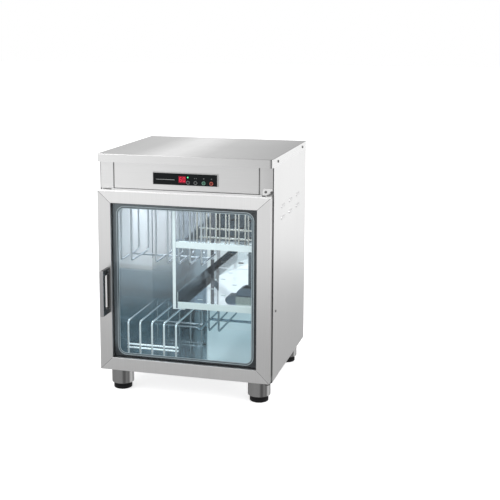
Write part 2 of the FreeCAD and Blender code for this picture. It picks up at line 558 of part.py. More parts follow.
# perforated shelf: front flange down, left and rear upstands
sh = fuse(box(SHELF_X0, SHELF_X1, SHELF_Y0, SHELF_Y1, SHELF_Z - T, SHELF_Z),
          box(SHELF_X0, SHELF_X1, SHELF_Y0, SHELF_Y0 + T, RAIL_Z, SHELF_Z),
          box(SHELF_X1 - T, SHELF_X1, SHELF_Y0, SHELF_Y1, RAIL_Z, SHELF_Z),
          box(SHELF_X0, SHELF_X0 + T, SHELF_Y0, SHELF_Y1, SHELF_Z - T, SHELF_Z + SHELF_SIDE),
          box(SHELF_X0, SHELF_X1, SHELF_Y1 - T, SHELF_Y1, SHELF_Z - T, SHELF_Z + SHELF_REAR))
sh = rounded(sh, 0.9, lambda e: along(e, 0) and near(mid(e)[1], SHELF_Y0) and near(mid(e)[2], SHELF_Z))
holes = [box(REAR_STRAP_X0 - 1.5, REAR_STRAP_X1 + 1.5, REAR_STRAP_Y - 1.5, REAR_STRAP_Y + 3.5, SHELF_Z - 4, SHELF_Z + 4)]
for i, xx in enumerate((23.5, 75.8, 128.1, 180.4)):
    for yy in ((118.0, 240.0) if i % 2 else (57.0, 179.0, 300.0)):
        holes.append(slot_prism_z(xx, yy, 16.0, 7.0, SHELF_Z - 4, SHELF_Z + 4))
sh = cut(sh, *holes)
parts["lower_shelf"] = sh

# utensil hooks: wire loops under the shelf, tied by two cross wires
hooks = []
for x in HOOK_X:
    hooks.append(bent_wire([(x, HOOK_Y0, SHELF_Z - T), (x, HOOK_Y0, HOOK_Z), (x, HOOK_Y1, HOOK_Z),
                            (x, HOOK_Y1, SHELF_Z - T)], WIRE_R, (9.0, 9.0)))
for y in (186.0, 196.0):
    hooks.append(rod((HOOK_X[0] - 8, y, HOOK_Z - 2 * WIRE_R - 0.02), (207.0, y, HOOK_Z - 2 * WIRE_R - 0.02), WIRE_R))
for x in (207.0 - 12.0,):
    hooks.append(rod((x, 191.0, HOOK_Z - WIRE_R + 0.02), (x, 191.0, SHELF_Z - T), WIRE_R))
parts["utensil_hooks"] = group(hooks)

# hot air outlet cowl at the right of the shelf, with its riser to the ceiling
CZ = SHELF_Z + 0.05
cw = fuse(box(118.0, CH_X, 30.0, 66.0, CZ, CZ + 24.6),
          cyl(118.0, 30.0, CZ + 12.3, 12.3, 36.0, (0, 1, 0)))
hump = fuse(cyl(160.0, 36.0, CZ + 23.0, 26.0, 36.0, (0, 1, 0)), box(160.0, CH_X, 36.0, 72.0, CZ + 23.0, CZ + 49.0))
hump = hump.common(box(100, CH_X, 30, 80, CZ + 20.0, CZ + 60.0))
cw = fuse(cw, hump)
cw = rounded(cw, 2.5, lambda e: near(e.BoundBox.YMin, 30.0) and near(e.BoundBox.YMax, 30.0)
             and e.BoundBox.XMax < CH_X - 2 and e.BoundBox.ZMin > CZ + 1)
cw = fuse(cw, box(168.0, 177.0, 45.0, 57.0, CZ + 40.0, BAR_Z0 - 4.0), box(168.0, CH_X, 45.0, 57.0, BAR_Z0 - 10.0, BAR_Z0 - 4.0))
parts["air_outlet_cowl"] = cw

# ---------------------------------------------------------------------------
# Hinge brackets and pins
# ---------------------------------------------------------------------------
tb1 = box(219.0, 246.3, -2.5, 0, 590.4, 609.0)
tb1 = rounded(tb1, 7.0, lambda e: along(e, 1) and (mid(e)[2] > 600) and mid(e)[0] < 225)
tb1 = rounded(tb1, 2.0, lambda e: along(e, 1) and (mid(e)[2] > 600) and mid(e)[0] > 240)
lug = fuse(box(HINGE_X - 8.3, HINGE_X + 8.3, HINGE_Y, 0, 588.8, 591.3), cyl(HINGE_X, HINGE_Y, 588.8, 8.3, 2.5))
tb1 = fuse(tb1, lug)
tb1 = cut(tb1, cyl(HINGE_X, HINGE_Y, 585, PIN_R, 10))
parts["top_hinge_bracket"] = drilled(tb1)

bb = fuse(box(HINGE_X - 8.3, HINGE_X + 8.3, HINGE_Y, -1.0, 65.2, 67.9), cyl(HINGE_X, HINGE_Y, 65.2, 8.3, 2.7),
          box(238.2, 248.6, -2.0, 84.0, 65.2, 67.9))
bb = cut(bb, cyl(HINGE_X, HINGE_Y, 60, PIN_R, 10))
parts["bottom_hinge_bracket"] = drilled(bb)

pin_t = fuse(cyl(HINGE_X, HINGE_Y, 568.0, PIN_R, 23.3), cyl(HINGE_X, HINGE_Y, 591.32, 5.2, 2.0))
pin_t = pin_t.fuse(cyl(HINGE_X, HINGE_Y, 591.0, PIN_R, 1.0)).removeSplitter()
pin_b = fuse(cyl(HINGE_X, HINGE_Y, 64.0, PIN_R, 24.0), cyl(HINGE_X, HINGE_Y, 63.0, 5.2, 2.18))
parts["hinge_pins"] = group([pin_t, pin_b])

# ---------------------------------------------------------------------------
# Door: four mitred rails, liner, glass, glass gasket, seal, handle, bushes
# ---------------------------------------------------------------------------
d = box(-DOOR_HALF, DOOR_HALF, DOOR_Y0, DOOR_Y1, DOOR_Z0, DOOR_Z1)
d = rounded(d, 1.6, lambda e: along(e, 1))
d = rounded(d, 1.4, lambda e: near(e.BoundBox.YMin, DOOR_Y0) and near(e.BoundBox.YMax, DOOR_Y0))
win = box(-WIN_HALF, WIN_HALF, DOOR_Y0 - 5, 0, WIN_Z0, WIN_Z1)
d = cut(d, win)
d = rounded(d, 1.0, lambda e: near(e.BoundBox.YMin, DOOR_Y0) and near(e.BoundBox.YMax, DOOR_Y0)
            and abs(mid(e)[0]) < WIN_HALF + 0.1 and WIN_Z0 - 0.1 < mid(e)[2] < WIN_Z1 + 0.1)
REB_Y = GLASS_Y0 - 1.0
d = cut(d, box(-WIN_HALF - REBATE, WIN_HALF + REBATE, REB_Y, 0, WIN_Z0 - REBATE, WIN_Z1 + REBATE))
front_cav = cut(box(-DOOR_HALF + T, DOOR_HALF - T, DOOR_Y0 + T, REB_Y - T, DOOR_Z0 + T, DOOR_Z1 - T),
                box(-WIN_HALF - T, WIN_HALF + T, -60, 0, WIN_Z0 - T, WIN_Z1 + T))
rear_cav = cut(box(-DOOR_HALF + T, DOOR_HALF - T, REB_Y - T - 0.01, DOOR_Y1 + 1, DOOR_Z0 + T, DOOR_Z1 - T),
               box(-WIN_HALF - REBATE - T, WIN_HALF + REBATE + T, -60, 0, WIN_Z0 - REBATE - T, WIN_Z1 + REBATE + T))
d = cut(d, front_cav, rear_cav)
d = cut(d, cyl(HINGE_X, HINGE_Y, DOOR_Z1 - 4, BUSH_R, 10), cyl(HINGE_X, HINGE_Y, DOOR_Z0 - 4, BUSH_R, 8))


def prism(points):
    pts = [V(x, DOOR_Y0 - 5, z) for x, z in points]
    face = Part.Face(Part.makePolygon(pts + [pts[0]]))
    return face.extrude(V(0, 40, 0))


# mitres run from each outer corner to the inner corner, with a fine joint line
ox, oz0, oz1, ix, iz0, iz1 = DOOR_HALF, DOOR_Z0, DOOR_Z1, WIN_HALF, WIN_Z0, WIN_Z1
J = 0.22
E = 40.0
kt = (oz1 - iz1) / (ox - ix)
kb = (iz0 - oz0) / (ox - ix)
top = prism([(-ox - E + J, oz1 + E * kt + 0), (ox + E - J, oz1 + E * kt), (ix - 60 - J, iz1 - 60 * kt), (-ix + 60 + J, iz1 - 60 * kt)])
bottom = prism([(-ox - E + J, oz0 - E * kb), (ox + E - J, oz0 - E * kb), (ix - 60 - J, iz0 + 60 * kb), (-ix + 60 + J, iz0 + 60 * kb)])
parts["door_top_rail"] = d.common(top).common(box(-ox, ox, -60, 0, iz1 - 8, oz1))
parts["door_bottom_rail"] = d.common(bottom).common(box(-ox, ox, -60, 0, oz0, iz0 + 8))
rest = d.cut([prism([(-ox - E - J, oz1 + E * kt + 0), (ox + E + J, oz1 + E * kt), (ix - 60 + J, iz1 - 60 * kt), (-ix + 60 - J, iz1 - 60 * kt)]),
              prism([(-ox - E - J, oz0 - E * kb), (ox + E + J, oz0 - E * kb), (ix - 60 + J, iz0 + 60 * kb), (-ix + 60 - J, iz0 + 60 * kb)])])
parts["door_handle_stile"] = rest.common(box(-ox - 1, -50, -60, 0, oz0 - 1, oz1 + 1))
parts["door_hinge_stile"] = rest.common(box(50, ox + 1, -60, 0, oz0 - 1, oz1 + 1))

def four_strips(ring, x1, z0, z1, x2, z2, z3):
    """Cut a rectangular ring into four strips along its corner mitres.
    x1, z0, z1 are the outer half width and heights, x2, z2, z3 the inner."""
    g = 0.05
    grow = 30.0

    def wedge(pts):
        v = [V(x, -80, z) for x, z in pts]
        return Part.Face(Part.makePolygon(v + [v[0]])).extrude(V(0, 160, 0))

    kx_t = (z1 - z3) / (x1 - x2)
    kx_b = (z2 - z0) / (x1 - x2)
    a, b = grow, 20.0
    t = wedge([(-x1 - a + g, z1 + a * kx_t), (x1 + a - g, z1 + a * kx_t), (x2 - b - g, z3 - b * kx_t), (-x2 + b + g, z3 - b * kx_t)])
    u = wedge([(-x1 - a + g, z0 - a * kx_b), (x1 + a - g, z0 - a * kx_b), (x2 - b - g, z2 + b * kx_b), (-x2 + b + g, z2 + b * kx_b)])
    tw = wedge([(-x1 - a - g, z1 + a * kx_t), (x1 + a + g, z1 + a * kx_t), (x2 - b + g, z3 - b * kx_t), (-x2 + b - g, z3 - b * kx_t)])
    uw = wedge([(-x1 - a - g, z0 - a * kx_b), (x1 + a + g, z0 - a * kx_b), (x2 - b + g, z2 + b * kx_b), (-x2 + b - g, z2 + b * kx_b)])
    sides = ring.cut([tw, uw])
    return group(ring.common(t).Solids + ring.common(u).Solids + sides.Solids)


# four strips screwed behind the rails hold the glass
LIN_Y0, LIN_Y1 = DOOR_Y1 + 0.1, DOOR_Y1 + 0.1 + T
li = cut(box(-DOOR_HALF + 2.5, DOOR_HALF - 2.5, LIN_Y0, LIN_Y1, DOOR_Z0 + 2.5, DOOR_Z1 - 2.5),
         box(-206, 206, -60, 0, 111, 549.5))
# the corners beside the hinge bushes stay open
li = cut(li, box(231.0, 250.0, -20, 0, 575.0, 600.0), box(231.0, 250.0, -20, 0, 60.0, 83.0))
parts["glazing_strips"] = four_strips(li, DOOR_HALF - 2.5, DOOR_Z0 + 2.5, DOOR_Z1 - 2.5, 206, 111, 549.5)

GX, GZ0, GZ1 = WIN_HALF + 6.0, WIN_Z0 - 6.0, WIN_Z1 + 6.0
# two panes: the front one in the frame's rebate, the rear one inside the lip seal
parts["door_glass"] = fuse(box(-GX, GX, GLASS_Y0, GLASS_Y0 + GLASS_T, GZ0, GZ1),
                           box(-215.8, 215.8, -10.1, -6.1, 100.2, 566.3))
gk = cut(box(-GX - 1.3, GX + 1.3, REB_Y + 0.02, LIN_Y0, GZ0 - 1.3, GZ1 + 1.3),
         box(-GX, GX, GLASS_Y0, GLASS_Y0 + GLASS_T, GZ0, GZ1),
         box(-WIN_HALF + 0.6, WIN_HALF - 0.6, -60, 0, WIN_Z0 + 0.6, WIN_Z1 - 0.6))
parts["glass_gasket"] = four_strips(gk, GX + 1.3, GZ0 - 1.3, GZ1 + 1.3, WIN_HALF - 0.6, WIN_Z0 + 0.6, WIN_Z1 - 0.6)

se = cut(box(-234, 234, LIN_Y1, SEAL_Y1, 82, 584.5), box(-216, 216, -60, 10, 100, 566.5))
groove = cut(box(-234 + 5, 234 - 5, LIN_Y1 - 1, LIN_Y1 + 3.2, 82 + 5, 584.5 - 5),
             box(-216 - 5, 216 + 5, -60, 10, 100 - 5, 566.5 + 5))
se = cut(se, groove)
se = rounded(se, 1.5, lambda e: near(e.BoundBox.YMin, SEAL_Y1) and near(e.BoundBox.YMax, SEAL_Y1))
parts["door_seal"] = four_strips(se, 234, 82, 584.5, 216, 100, 566.5)

hb = box(HANDLE_X0, HANDLE_X1, HANDLE_Y0 + 2.5, DOOR_Y0, HANDLE_Z0, HANDLE_Z1)
hb = rounded(hb, 2.0, lambda e: along(e, 1))
hb = cut(hb, rounded(box(HANDLE_X0 - 5, HANDLE_X1 + 5, -64, -38, HANDLE_Z0 + 17, HANDLE_Z1 - 15.5), 3.0,
                     lambda e: along(e, 0)))
parts["handle_body"] = hb
ht = box(HANDLE_X0 - 0.0, HANDLE_X1 + 0.0, HANDLE_Y0, HANDLE_Y0 + 2.48, HANDLE_Z0, HANDLE_Z1)
ht = rounded(ht, 2.0, lambda e: along(e, 1))
ht = rounded(ht, 1.2, lambda e: near(e.BoundBox.YMin, HANDLE_Y0) and near(e.BoundBox.YMax, HANDLE_Y0))
parts["handle_trim"] = ht

# two moulded studs pass through the stile's face and hold the handle
hx = (HANDLE_X0 + HANDLE_X1) / 2
HSTUD_Z = (HANDLE_Z0 + 20, HANDLE_Z1 - 18)
parts["handle_body"] = fuse(parts["handle_body"], *[cyl(hx, DOOR_Y0 - 2, z, 2.0, 5.5, (0, 1, 0)) for z in HSTUD_Z])
parts["door_handle_stile"] = cut(parts["door_handle_stile"],
                                 *[cyl(hx, DOOR_Y0 - 2, z, 2.05, 6, (0, 1, 0)) for z in HSTUD_Z])

# flanged bushes: z is the outer face of the rail, s points into the door
bushes = []
for z, s in ((DOOR_Z1, -1), (DOOR_Z0, 1)):
    zb = z + s * 12.0
    bu = cyl(HINGE_X, HINGE_Y, min(z - s * 0.4, zb), BUSH_R - 0.02, abs(zb - z) + 0.4)
    fl = cyl(HINGE_X, HINGE_Y, min(z - s * 0.5, z - s * 0.02), 7.0, 0.48)
    bu = fuse(bu, fl)
    bu = cut(bu, cyl(HINGE_X, HINGE_Y, z - 30, BUSH_BORE_R, 60))
    bushes.append(bu)
parts["hinge_bushes"] = group(bushes)

parts["door_magnet"] = box(-200, -178, -19.9, LIN_Y0, 575.0, 583.0)

# ---------------------------------------------------------------------------
# Legs: fixed sleeve with threaded boss, adjustable foot with stem
# ---------------------------------------------------------------------------
def sleeve(x, y):
    s = cyl(x, y, SLEEVE_Z0, SLEEVE_R, BODY_Z - SLEEVE_Z0)
    s = rounded(s, 1.2, lambda e: e.Curve.TypeId == "Part::GeomCircle" and near(mid(e)[2], SLEEVE_Z0))
    s = cut(s, cyl(x, y, SLEEVE_Z0 - 1, SLEEVE_R - 2.2, BODY_Z - SLEEVE_Z0 - 2.0))
    s = fuse(s, cyl(x, y, 44.0, 12.0, BODY_Z - 44.0 - 0.5))
    return cut(s, cyl(x, y, 30, STEM_BORE_R, 36.0))


def foot(x, y):
    f = cyl(x, y, 0, FOOT_R, FOOT_H)
    f = rounded(f, 2.5, lambda e: e.Curve.TypeId == "Part::GeomCircle" and near(mid(e)[2], 0.0))
    f = rounded(f, 1.5, lambda e: e.Curve.TypeId == "Part::GeomCircle" and near(mid(e)[2], FOOT_H))
    f = cut(f, cut(cyl(x, y, 10.5, FOOT_R + 2, 1.6), cyl(x, y, 10, FOOT_R - 1.1, 4)))
    return fuse(f, cyl(x, y, FOOT_H - 1, STEM_R, 34.0))


LEGS = (("front_left", -LEG_X, LEG_YF), ("front_right", LEG_X, LEG_YF),
        ("rear_left", -LEG_X, LEG_YB), ("rear_right", LEG_X, LEG_YB))
parts["leg_sleeves"] = group([sleeve(x, y) for n, x, y in LEGS])
for n, x, y in LEGS:
    parts["foot_" + n] = foot(x, y)

parts["case_screws"] = group([screw(p, dd) for p, dd in SCREWS])

# ---------------------------------------------------------------------------
# Write every piece
# ---------------------------------------------------------------------------
os.makedirs("parts", exist_ok=True)
bad = []
for name, shape in parts.items():
    s = shape.copy()
    s.translate(V(0, -Y_CENTRE, 0))
    solids = s.Solids
    if not solids or not s.isValid() or any(q.Volume <= 0 for q in solids):
        bad.append(name)
    s = solids[0] if len(solids) == 1 else Part.Compound(solids)
    s.exportStep("parts/%s.step" % name)
    bb = s.BoundBox
    print("%-22s solids %2d vol %10.0f  x %7.1f %7.1f  y %7.1f %7.1f  z %7.1f %7.1f"
          % (name, len(solids), s.Volume, bb.XMin, bb.XMax, bb.YMin, bb.YMax, bb.ZMin, bb.ZMax))
print("nodes", len(parts), "Y centre", Y_CENTRE, "not valid", bad)
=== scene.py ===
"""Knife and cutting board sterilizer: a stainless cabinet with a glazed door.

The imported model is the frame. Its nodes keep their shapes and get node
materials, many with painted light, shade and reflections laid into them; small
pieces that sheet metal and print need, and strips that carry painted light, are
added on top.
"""
import math

import bmesh
import bpy
from mathutils import Matrix, Vector


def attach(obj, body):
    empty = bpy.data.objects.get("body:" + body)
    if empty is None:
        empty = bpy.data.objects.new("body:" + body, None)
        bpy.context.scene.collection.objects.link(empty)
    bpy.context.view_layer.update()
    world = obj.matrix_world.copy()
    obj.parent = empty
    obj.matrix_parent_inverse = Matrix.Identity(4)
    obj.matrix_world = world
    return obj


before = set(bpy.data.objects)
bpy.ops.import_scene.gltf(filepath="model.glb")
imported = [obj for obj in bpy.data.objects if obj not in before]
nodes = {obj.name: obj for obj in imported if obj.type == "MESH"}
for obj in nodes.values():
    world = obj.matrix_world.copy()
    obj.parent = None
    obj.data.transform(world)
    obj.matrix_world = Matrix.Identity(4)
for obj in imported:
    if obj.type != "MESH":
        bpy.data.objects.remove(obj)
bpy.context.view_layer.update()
YC = 0.1825                      # the fascia plane is at Y = -YC

scene = bpy.context.scene
scene.view_settings.view_transform = "Standard"
scene.view_settings.look = "None"
scene.cycles.max_bounces = 14
scene.cycles.glossy_bounces = 8
scene.cycles.diffuse_bounces = 4
scene.cycles.transparent_max_bounces = 24
scene.cycles.sample_clamp_indirect = 4.0
scene.cycles.caustics_reflective = True


# ---------------------------------------------------------------- materials
class Mat:
    """A small helper around one node tree."""

    def __init__(self, name):
        self.m = bpy.data.materials.new(name)
        self.m.use_nodes = True
        self.t = self.m.node_tree
        self.t.nodes.clear()
        self.out = self.add("ShaderNodeOutputMaterial")
        self.coord = None

    def add(self, kind, **sockets):
        n = self.t.nodes.new(kind)
        for k, v in sockets.items():
            n.inputs[k.replace("_", " ")].default_value = v
        return n

    def link(self, a, b):
        self.t.links.new(a, b)

    def principled(self, **sockets):
        p = self.add("ShaderNodeBsdfPrincipled", **sockets)
        self.link(p.outputs[0], self.out.inputs[0])
        self.p = p
        return p

    def co(self, scale=(1, 1, 1), loc=(0, 0, 0)):
        if self.coord is None:
            self.coord = self.add("ShaderNodeTexCoord").outputs["Object"]
        mp = self.add("ShaderNodeMapping")
        mp.inputs["Scale"].default_value = scale
        mp.inputs["Location"].default_value = loc
        self.link(self.coord, mp.inputs["Vector"])
        return mp.outputs[0]

    def noise(self, scale, stretch=(1, 1, 1), detail=3.0, rough=0.55):
        n = self.add("ShaderNodeTexNoise")
        n.inputs["Scale"].default_value = scale
        n.inputs["Detail"].default_value = detail
        n.inputs["Roughness"].default_value = rough
        self.link(self.co(stretch), n.inputs["Vector"])
        return n.outputs["Fac"]

    def ramp(self, fac, stops):
        r = self.add("ShaderNodeValToRGB")
        e = r.color_ramp.elements
        while len(e) < len(stops):
            e.new(0.5)
        for el, (pos, col) in zip(e, stops):
            el.position = pos
            if not hasattr(col, "__len__"):
                col = (col, col, col)
            el.color = tuple(col) + (1.0,)
        self.link(fac, r.inputs[0])
        return r.outputs[0]

    def axis(self, which, lo, hi):
        """0..1 along an object axis, in metres."""
        if self.coord is None:
            self.coord = self.add("ShaderNodeTexCoord").outputs["Object"]
        s = self.add("ShaderNodeSeparateXYZ")
        self.link(self.coord, s.inputs[0])
        m = self.add("ShaderNodeMapRange")
        m.inputs["From Min"].default_value = lo
        m.inputs["From Max"].default_value = hi
        self.link(s.outputs[which], m.inputs["Value"])
        return m.outputs["Result"]

    def plane(self, vec, lo, hi):
        """A soft step from 0 to 1 where the dot product of place and vec goes from lo to hi (metres)."""
        if self.coord is None:
            self.coord = self.add("ShaderNodeTexCoord").outputs["Object"]
        d = self.add("ShaderNodeVectorMath")
        d.operation = "DOT_PRODUCT"
        self.link(self.coord, d.inputs[0])
        d.inputs[1].default_value = vec
        m = self.add("ShaderNodeMapRange")
        m.interpolation_type = "SMOOTHSTEP"
        m.inputs["From Min"].default_value = lo
        m.inputs["From Max"].default_value = hi
        self.link(d.outputs["Value"], m.inputs["Value"])
        return m.outputs["Result"]

    def facing(self, vec, lo=0.45, hi=0.6):
        """A step from 0 to 1 for faces that look along vec."""
        d = self.add("ShaderNodeVectorMath")
        d.operation = "DOT_PRODUCT"
        self.link(self.add("ShaderNodeTexCoord").outputs["Normal"], d.inputs[0])
        d.inputs[1].default_value = vec
        m = self.add("ShaderNodeMapRange")
        m.inputs["From Min"].default_value = lo
        m.inputs["From Max"].default_value = hi
        self.link(d.outputs["Value"], m.inputs["Value"])
        return m.outputs["Result"]

    def times(self, a, b):
        m = self.add("ShaderNodeMath")
        m.operation = "MULTIPLY"
        self.link(a, m.inputs[0])
        self.link(b, m.inputs[1])
        return m.outputs[0]

    def less(self, a):
        m = self.add("ShaderNodeMath")
        m.operation = "SUBTRACT"
        m.inputs[0].default_value = 1.0
        self.link(a, m.inputs[1])
        return m.outputs[0]

    def zones(self, base, layers):
        """Colour, metallic, roughness and painted glow laid down zone by zone, each zone with its mask."""
        def rgb(c):
            n = self.add("ShaderNodeRGB")
            n.outputs[0].default_value = (tuple(c) if hasattr(c, "__len__") else (c, c, c)) + (1.0,)
            return n.outputs[0]
        now = [rgb(v) for v in base]
        for mask, vals in layers:
            for i, v in enumerate(vals):
                if v is None:
                    continue
                m = self.mix("MIX", now[i], rgb(v))
                self.link(mask, m.node.inputs["Factor"])
                now[i] = m
        grain = self.ramp(self.noise(300.0, (1.0, 1.0, 0.03)), [(0.3, 0.96), (0.7, 1.0)])
        self.link(self.mix("MULTIPLY", now[0], grain), self.p.inputs["Base Color"])
        self.link(now[1], self.p.inputs["Metallic"])
        self.link(now[2], self.p.inputs["Roughness"])
        if len(now) > 3:
            self.p.inputs["Emission Strength"].default_value = 1.0
            self.link(now[3], self.p.inputs["Emission Color"])

    def mix(self, kind, a, b, fac=1.0):
        m = self.add("ShaderNodeMix")
        m.data_type = "RGBA"
        m.blend_type = kind
        m.inputs["Factor"].default_value = fac
        self.link(a, m.inputs["A"])
        self.link(b, m.inputs["B"])
        return m.outputs["Result"]

    def bump(self, height, strength, dist):
        b = self.add("ShaderNodeBump")
        b.inputs["Strength"].default_value = strength
        b.inputs["Distance"].default_value = dist
        self.link(height, b.inputs["Height"])
        self.link(b.outputs[0], self.p.inputs["Normal"])
        return b


def steel(name, tint=(0.80, 0.80, 0.795), rough=(0.26, 0.36), along=0, grade=None, bump=0.16,
          cloud=0.025, aniso=0.35, metallic=1.0):
    """Hairline stainless steel. along is the grain's axis; grade is (axis, lo, hi, stops), a painted light-and-shade
    ramp along that axis.
    """
    k = Mat(name)
    p = k.principled(Metallic=metallic)
    p.inputs["Anisotropic"].default_value = aniso
    st = [1.0, 1.0, 1.0]
    st[along] = 0.012
    hair = k.noise(900.0, tuple(st), 2.0, 0.6)
    st2 = [1.0, 1.0, 1.0]
    st2[along] = 0.05
    band = k.noise(60.0, tuple(st2), 3.0, 0.6)
    soft = k.noise(5.0, (1, 1, 1), 2.0, 0.5)
    c1 = k.ramp(hair, [(0.25, tuple(v * 0.975 for v in tint)), (0.75, tuple(min(1, v * 1.02) for v in tint))])
    c2 = k.ramp(band, [(0.3, 0.985), (0.7, 1.0)])
    c3 = k.ramp(soft, [(0.3, 1.0 - cloud), (0.7, 1.0)])
    c = k.mix("MULTIPLY", k.mix("MULTIPLY", c1, c2), c3)
    if grade:
        ax, lo, hi, stops = grade
        c = k.mix("MULTIPLY", c, k.ramp(k.axis(ax, lo, hi), stops))
    k.link(c, p.inputs["Base Color"])
    r = k.ramp(hair, [(0.2, rough[0]), (0.8, rough[1])])
    k.link(r, p.inputs["Roughness"])
    k.bump(hair, bump, 0.00004)
    return k.m


def plain_metal(name, tint, rough, noise=220.0, bump=0.2, dist=0.00006, var=0.08):
    k = Mat(name)
    p = k.principled(Metallic=1.0)
    n = k.noise(noise, (1, 1, 1), 4.0)
    k.link(k.ramp(n, [(0.3, tuple(v * (1 - var) for v in tint)), (0.7, tint)]), p.inputs["Base Color"])
    k.link(k.ramp(n, [(0.3, rough), (0.7, rough + 0.08)]), p.inputs["Roughness"])
    k.bump(n, bump, dist)
    return k.m


def plastic(name, tint, rough, grain=1400.0, bump=0.25, dist=0.00008, coat=0.0, var=0.1, emit=None, spec=0.5):
    k = Mat(name)
    p = k.principled()
    p.inputs["Coat Weight"].default_value = coat
    p.inputs["Specular IOR Level"].default_value = spec
    n = k.noise(grain, (1, 1, 1), 2.0)
    big = k.noise(14.0, (1, 1, 1), 3.0)
    a = k.ramp(n, [(0.3, tuple(v * (1 - var) for v in tint)), (0.7, tint)])
    b = k.ramp(big, [(0.35, 0.93), (0.65, 1.0)])
    k.link(k.mix("MULTIPLY", a, b), p.inputs["Base Color"])
    k.link(k.ramp(big, [(0.3, rough), (0.7, rough + 0.07)]), p.inputs["Roughness"])
    if emit:
        p.inputs["Emission Color"].default_value = emit[0] + (1.0,)
        p.inputs["Emission Strength"].default_value = emit[1]
    k.bump(n, bump, dist)
    return k.m


def glass(name, tint, gloss_tint=(1, 1, 1), rough=0.015, face=0.014, smear=True):
    """Thin glass: what is behind it shows through a film, and the surface mirrors a little."""
    k = Mat(name)
    tr = k.add("ShaderNodeBsdfTransparent")
    tr.inputs["Color"].default_value = tint + (1.0,)
    gl = k.add("ShaderNodeBsdfGlossy")
    gl.inputs["Color"].default_value = gloss_tint + (1.0,)
    gl.inputs["Roughness"].default_value = rough
    if smear:
        n = k.noise(9.0, (1, 1, 0.6), 4.0)
        k.link(k.ramp(n, [(0.35, rough), (0.75, rough + 0.03)]), gl.inputs["Roughness"])
    lw = k.add("ShaderNodeLayerWeight")
    lw.inputs["Blend"].default_value = 0.5
    mx = k.add("ShaderNodeMixShader")
    k.link(k.ramp(lw.outputs["Facing"], [(0.0, face), (0.35, face * 1.5), (0.65, 0.06), (0.85, 0.25), (1.0, 0.90)]), mx.inputs[0])
    k.link(tr.outputs[0], mx.inputs[1])
    k.link(gl.outputs[0], mx.inputs[2])
    k.link(mx.outputs[0], k.out.inputs[0])
    return k.m


FRONT = (0.80, 0.80, 0.80)
M = {}
# painted shade: the front steel grows darker towards +X
M["front_steel"] = steel("front_steel", FRONT, (0.28, 0.36), 0,
                         (0, -0.25, 0.25, [(0.0, 0.96), (0.30, 0.92), (0.65, 0.80), (0.90, 0.74), (1.0, 0.62)]))
# painted shade: the door stiles grow darker towards the top
M["door_stile_steel"] = steel("door_stile_steel", FRONT, (0.28, 0.36), 2, (2, 0.07, 0.59, [(0.0, 0.96), (0.5, 0.92), (1.0, 0.88)]))


def worktop_material():
    """Brushed top with a painted highlight band across it, darker towards both ends; on the turned-down edges painted
    shade deepens into the right-hand corner, and faces towards +X get a flat tone.
    """
    k = Mat("worktop_steel")
    p = k.principled(Metallic=1.0)
    p.inputs["Anisotropic"].default_value = 0.3
    tint = (0.96, 0.96, 0.96)
    hair = k.noise(900.0, (1.0, 0.012, 1.0), 2.0, 0.6)
    soft = k.noise(5.0, (1, 1, 1), 2.0, 0.5)
    c = k.mix("MULTIPLY", k.ramp(hair, [(0.25, tuple(v * 0.975 for v in tint)), (0.75, tint)]),
              k.ramp(soft, [(0.3, 0.98), (0.7, 1.0)]))
    # painted highlight band on the top, and painted shade along the lip, darkest at the right-hand corner
    top = k.ramp(k.axis(0, -0.25, 0.25), [(0.0, 0.53), (0.20, 0.60), (0.36, 1.0), (0.44, 1.0), (0.62, 0.60), (1.0, 0.35)])
    lip = k.ramp(k.axis(0, -0.25, 0.25), [(0.0, 0.80), (0.45, 0.72), (0.982, 0.53), (0.992, 0.20), (1.0, 0.16)])
    nz = k.add("ShaderNodeSeparateXYZ")
    k.link(k.add("ShaderNodeTexCoord").outputs["Normal"], nz.inputs[0])
    side = k.mix("MIX", lip, k.ramp(nz.outputs[0], [(0.0, 0.84), (1.0, 0.84)]))
    k.link(k.ramp(nz.outputs[0], [(0.45, 0.0), (0.55, 1.0)]), side.node.inputs["Factor"])
    allc = k.mix("MIX", side, top)
    k.link(k.ramp(nz.outputs[2], [(0.45, 0.0), (0.75, 1.0)]), allc.node.inputs["Factor"])
    k.link(k.mix("MULTIPLY", c, allc), p.inputs["Base Color"])
    k.link(k.ramp(hair, [(0.2, 0.20), (0.8, 0.28)]), p.inputs["Roughness"])
    k.bump(hair, 0.16, 0.00004)
    return k.m


M["worktop_steel"] = worktop_material()
# painted shade: the side panels grow a little darker towards the bottom
M["side_steel"] = steel("side_steel", (0.84, 0.84, 0.84), (0.32, 0.42), 2,
                        (2, 0.068, 0.666, [(0.0, 0.96), (0.45, 0.97), (1.0, 1.0)]))
M["rear_steel"] = steel("rear_steel", (0.76, 0.77, 0.77), (0.34, 0.44), 2, None)
M["chamber_steel"] = steel("chamber_steel", (0.90, 0.93, 0.945), (0.05, 0.09), 2, None, 0.08, 0.03, 0.15)
M["wire_steel"] = plain_metal("wire_steel", (0.95, 0.97, 0.98), 0.16, 300, 0.1)
M["bracket_steel"] = plain_metal("bracket_steel", (0.74, 0.74, 0.74), 0.20, 90, 0.2)
M["zinc_steel"] = plain_metal("zinc_steel", (0.66, 0.67, 0.68), 0.34, 90, 0.3)
M["screw_steel"] = plain_metal("screw_steel", (0.16, 0.16, 0.16), 0.30, 400, 0.2)
M["dark_bracket"] = plain_metal("dark_bracket", (0.10, 0.10, 0.10), 0.30, 90, 0.2)
M["panel_black"] = plastic("panel_black", (0.006, 0.008, 0.009), 0.30, 1600, 0.1, spec=0.12)
M["lens_red"] = plastic("lens_red", (0.16, 0.010, 0.022), 0.20, 1600, 0.05, emit=((0.60, 0.02, 0.06), 0.20), spec=0.15)
M["board_green"] = plastic("board_green", (0.04, 0.22, 0.09), 0.4, 700, 0.4)
M["key_clear"] = plastic("key_clear", (0.016, 0.017, 0.018), 0.3, 900, 0.15, spec=0.2)
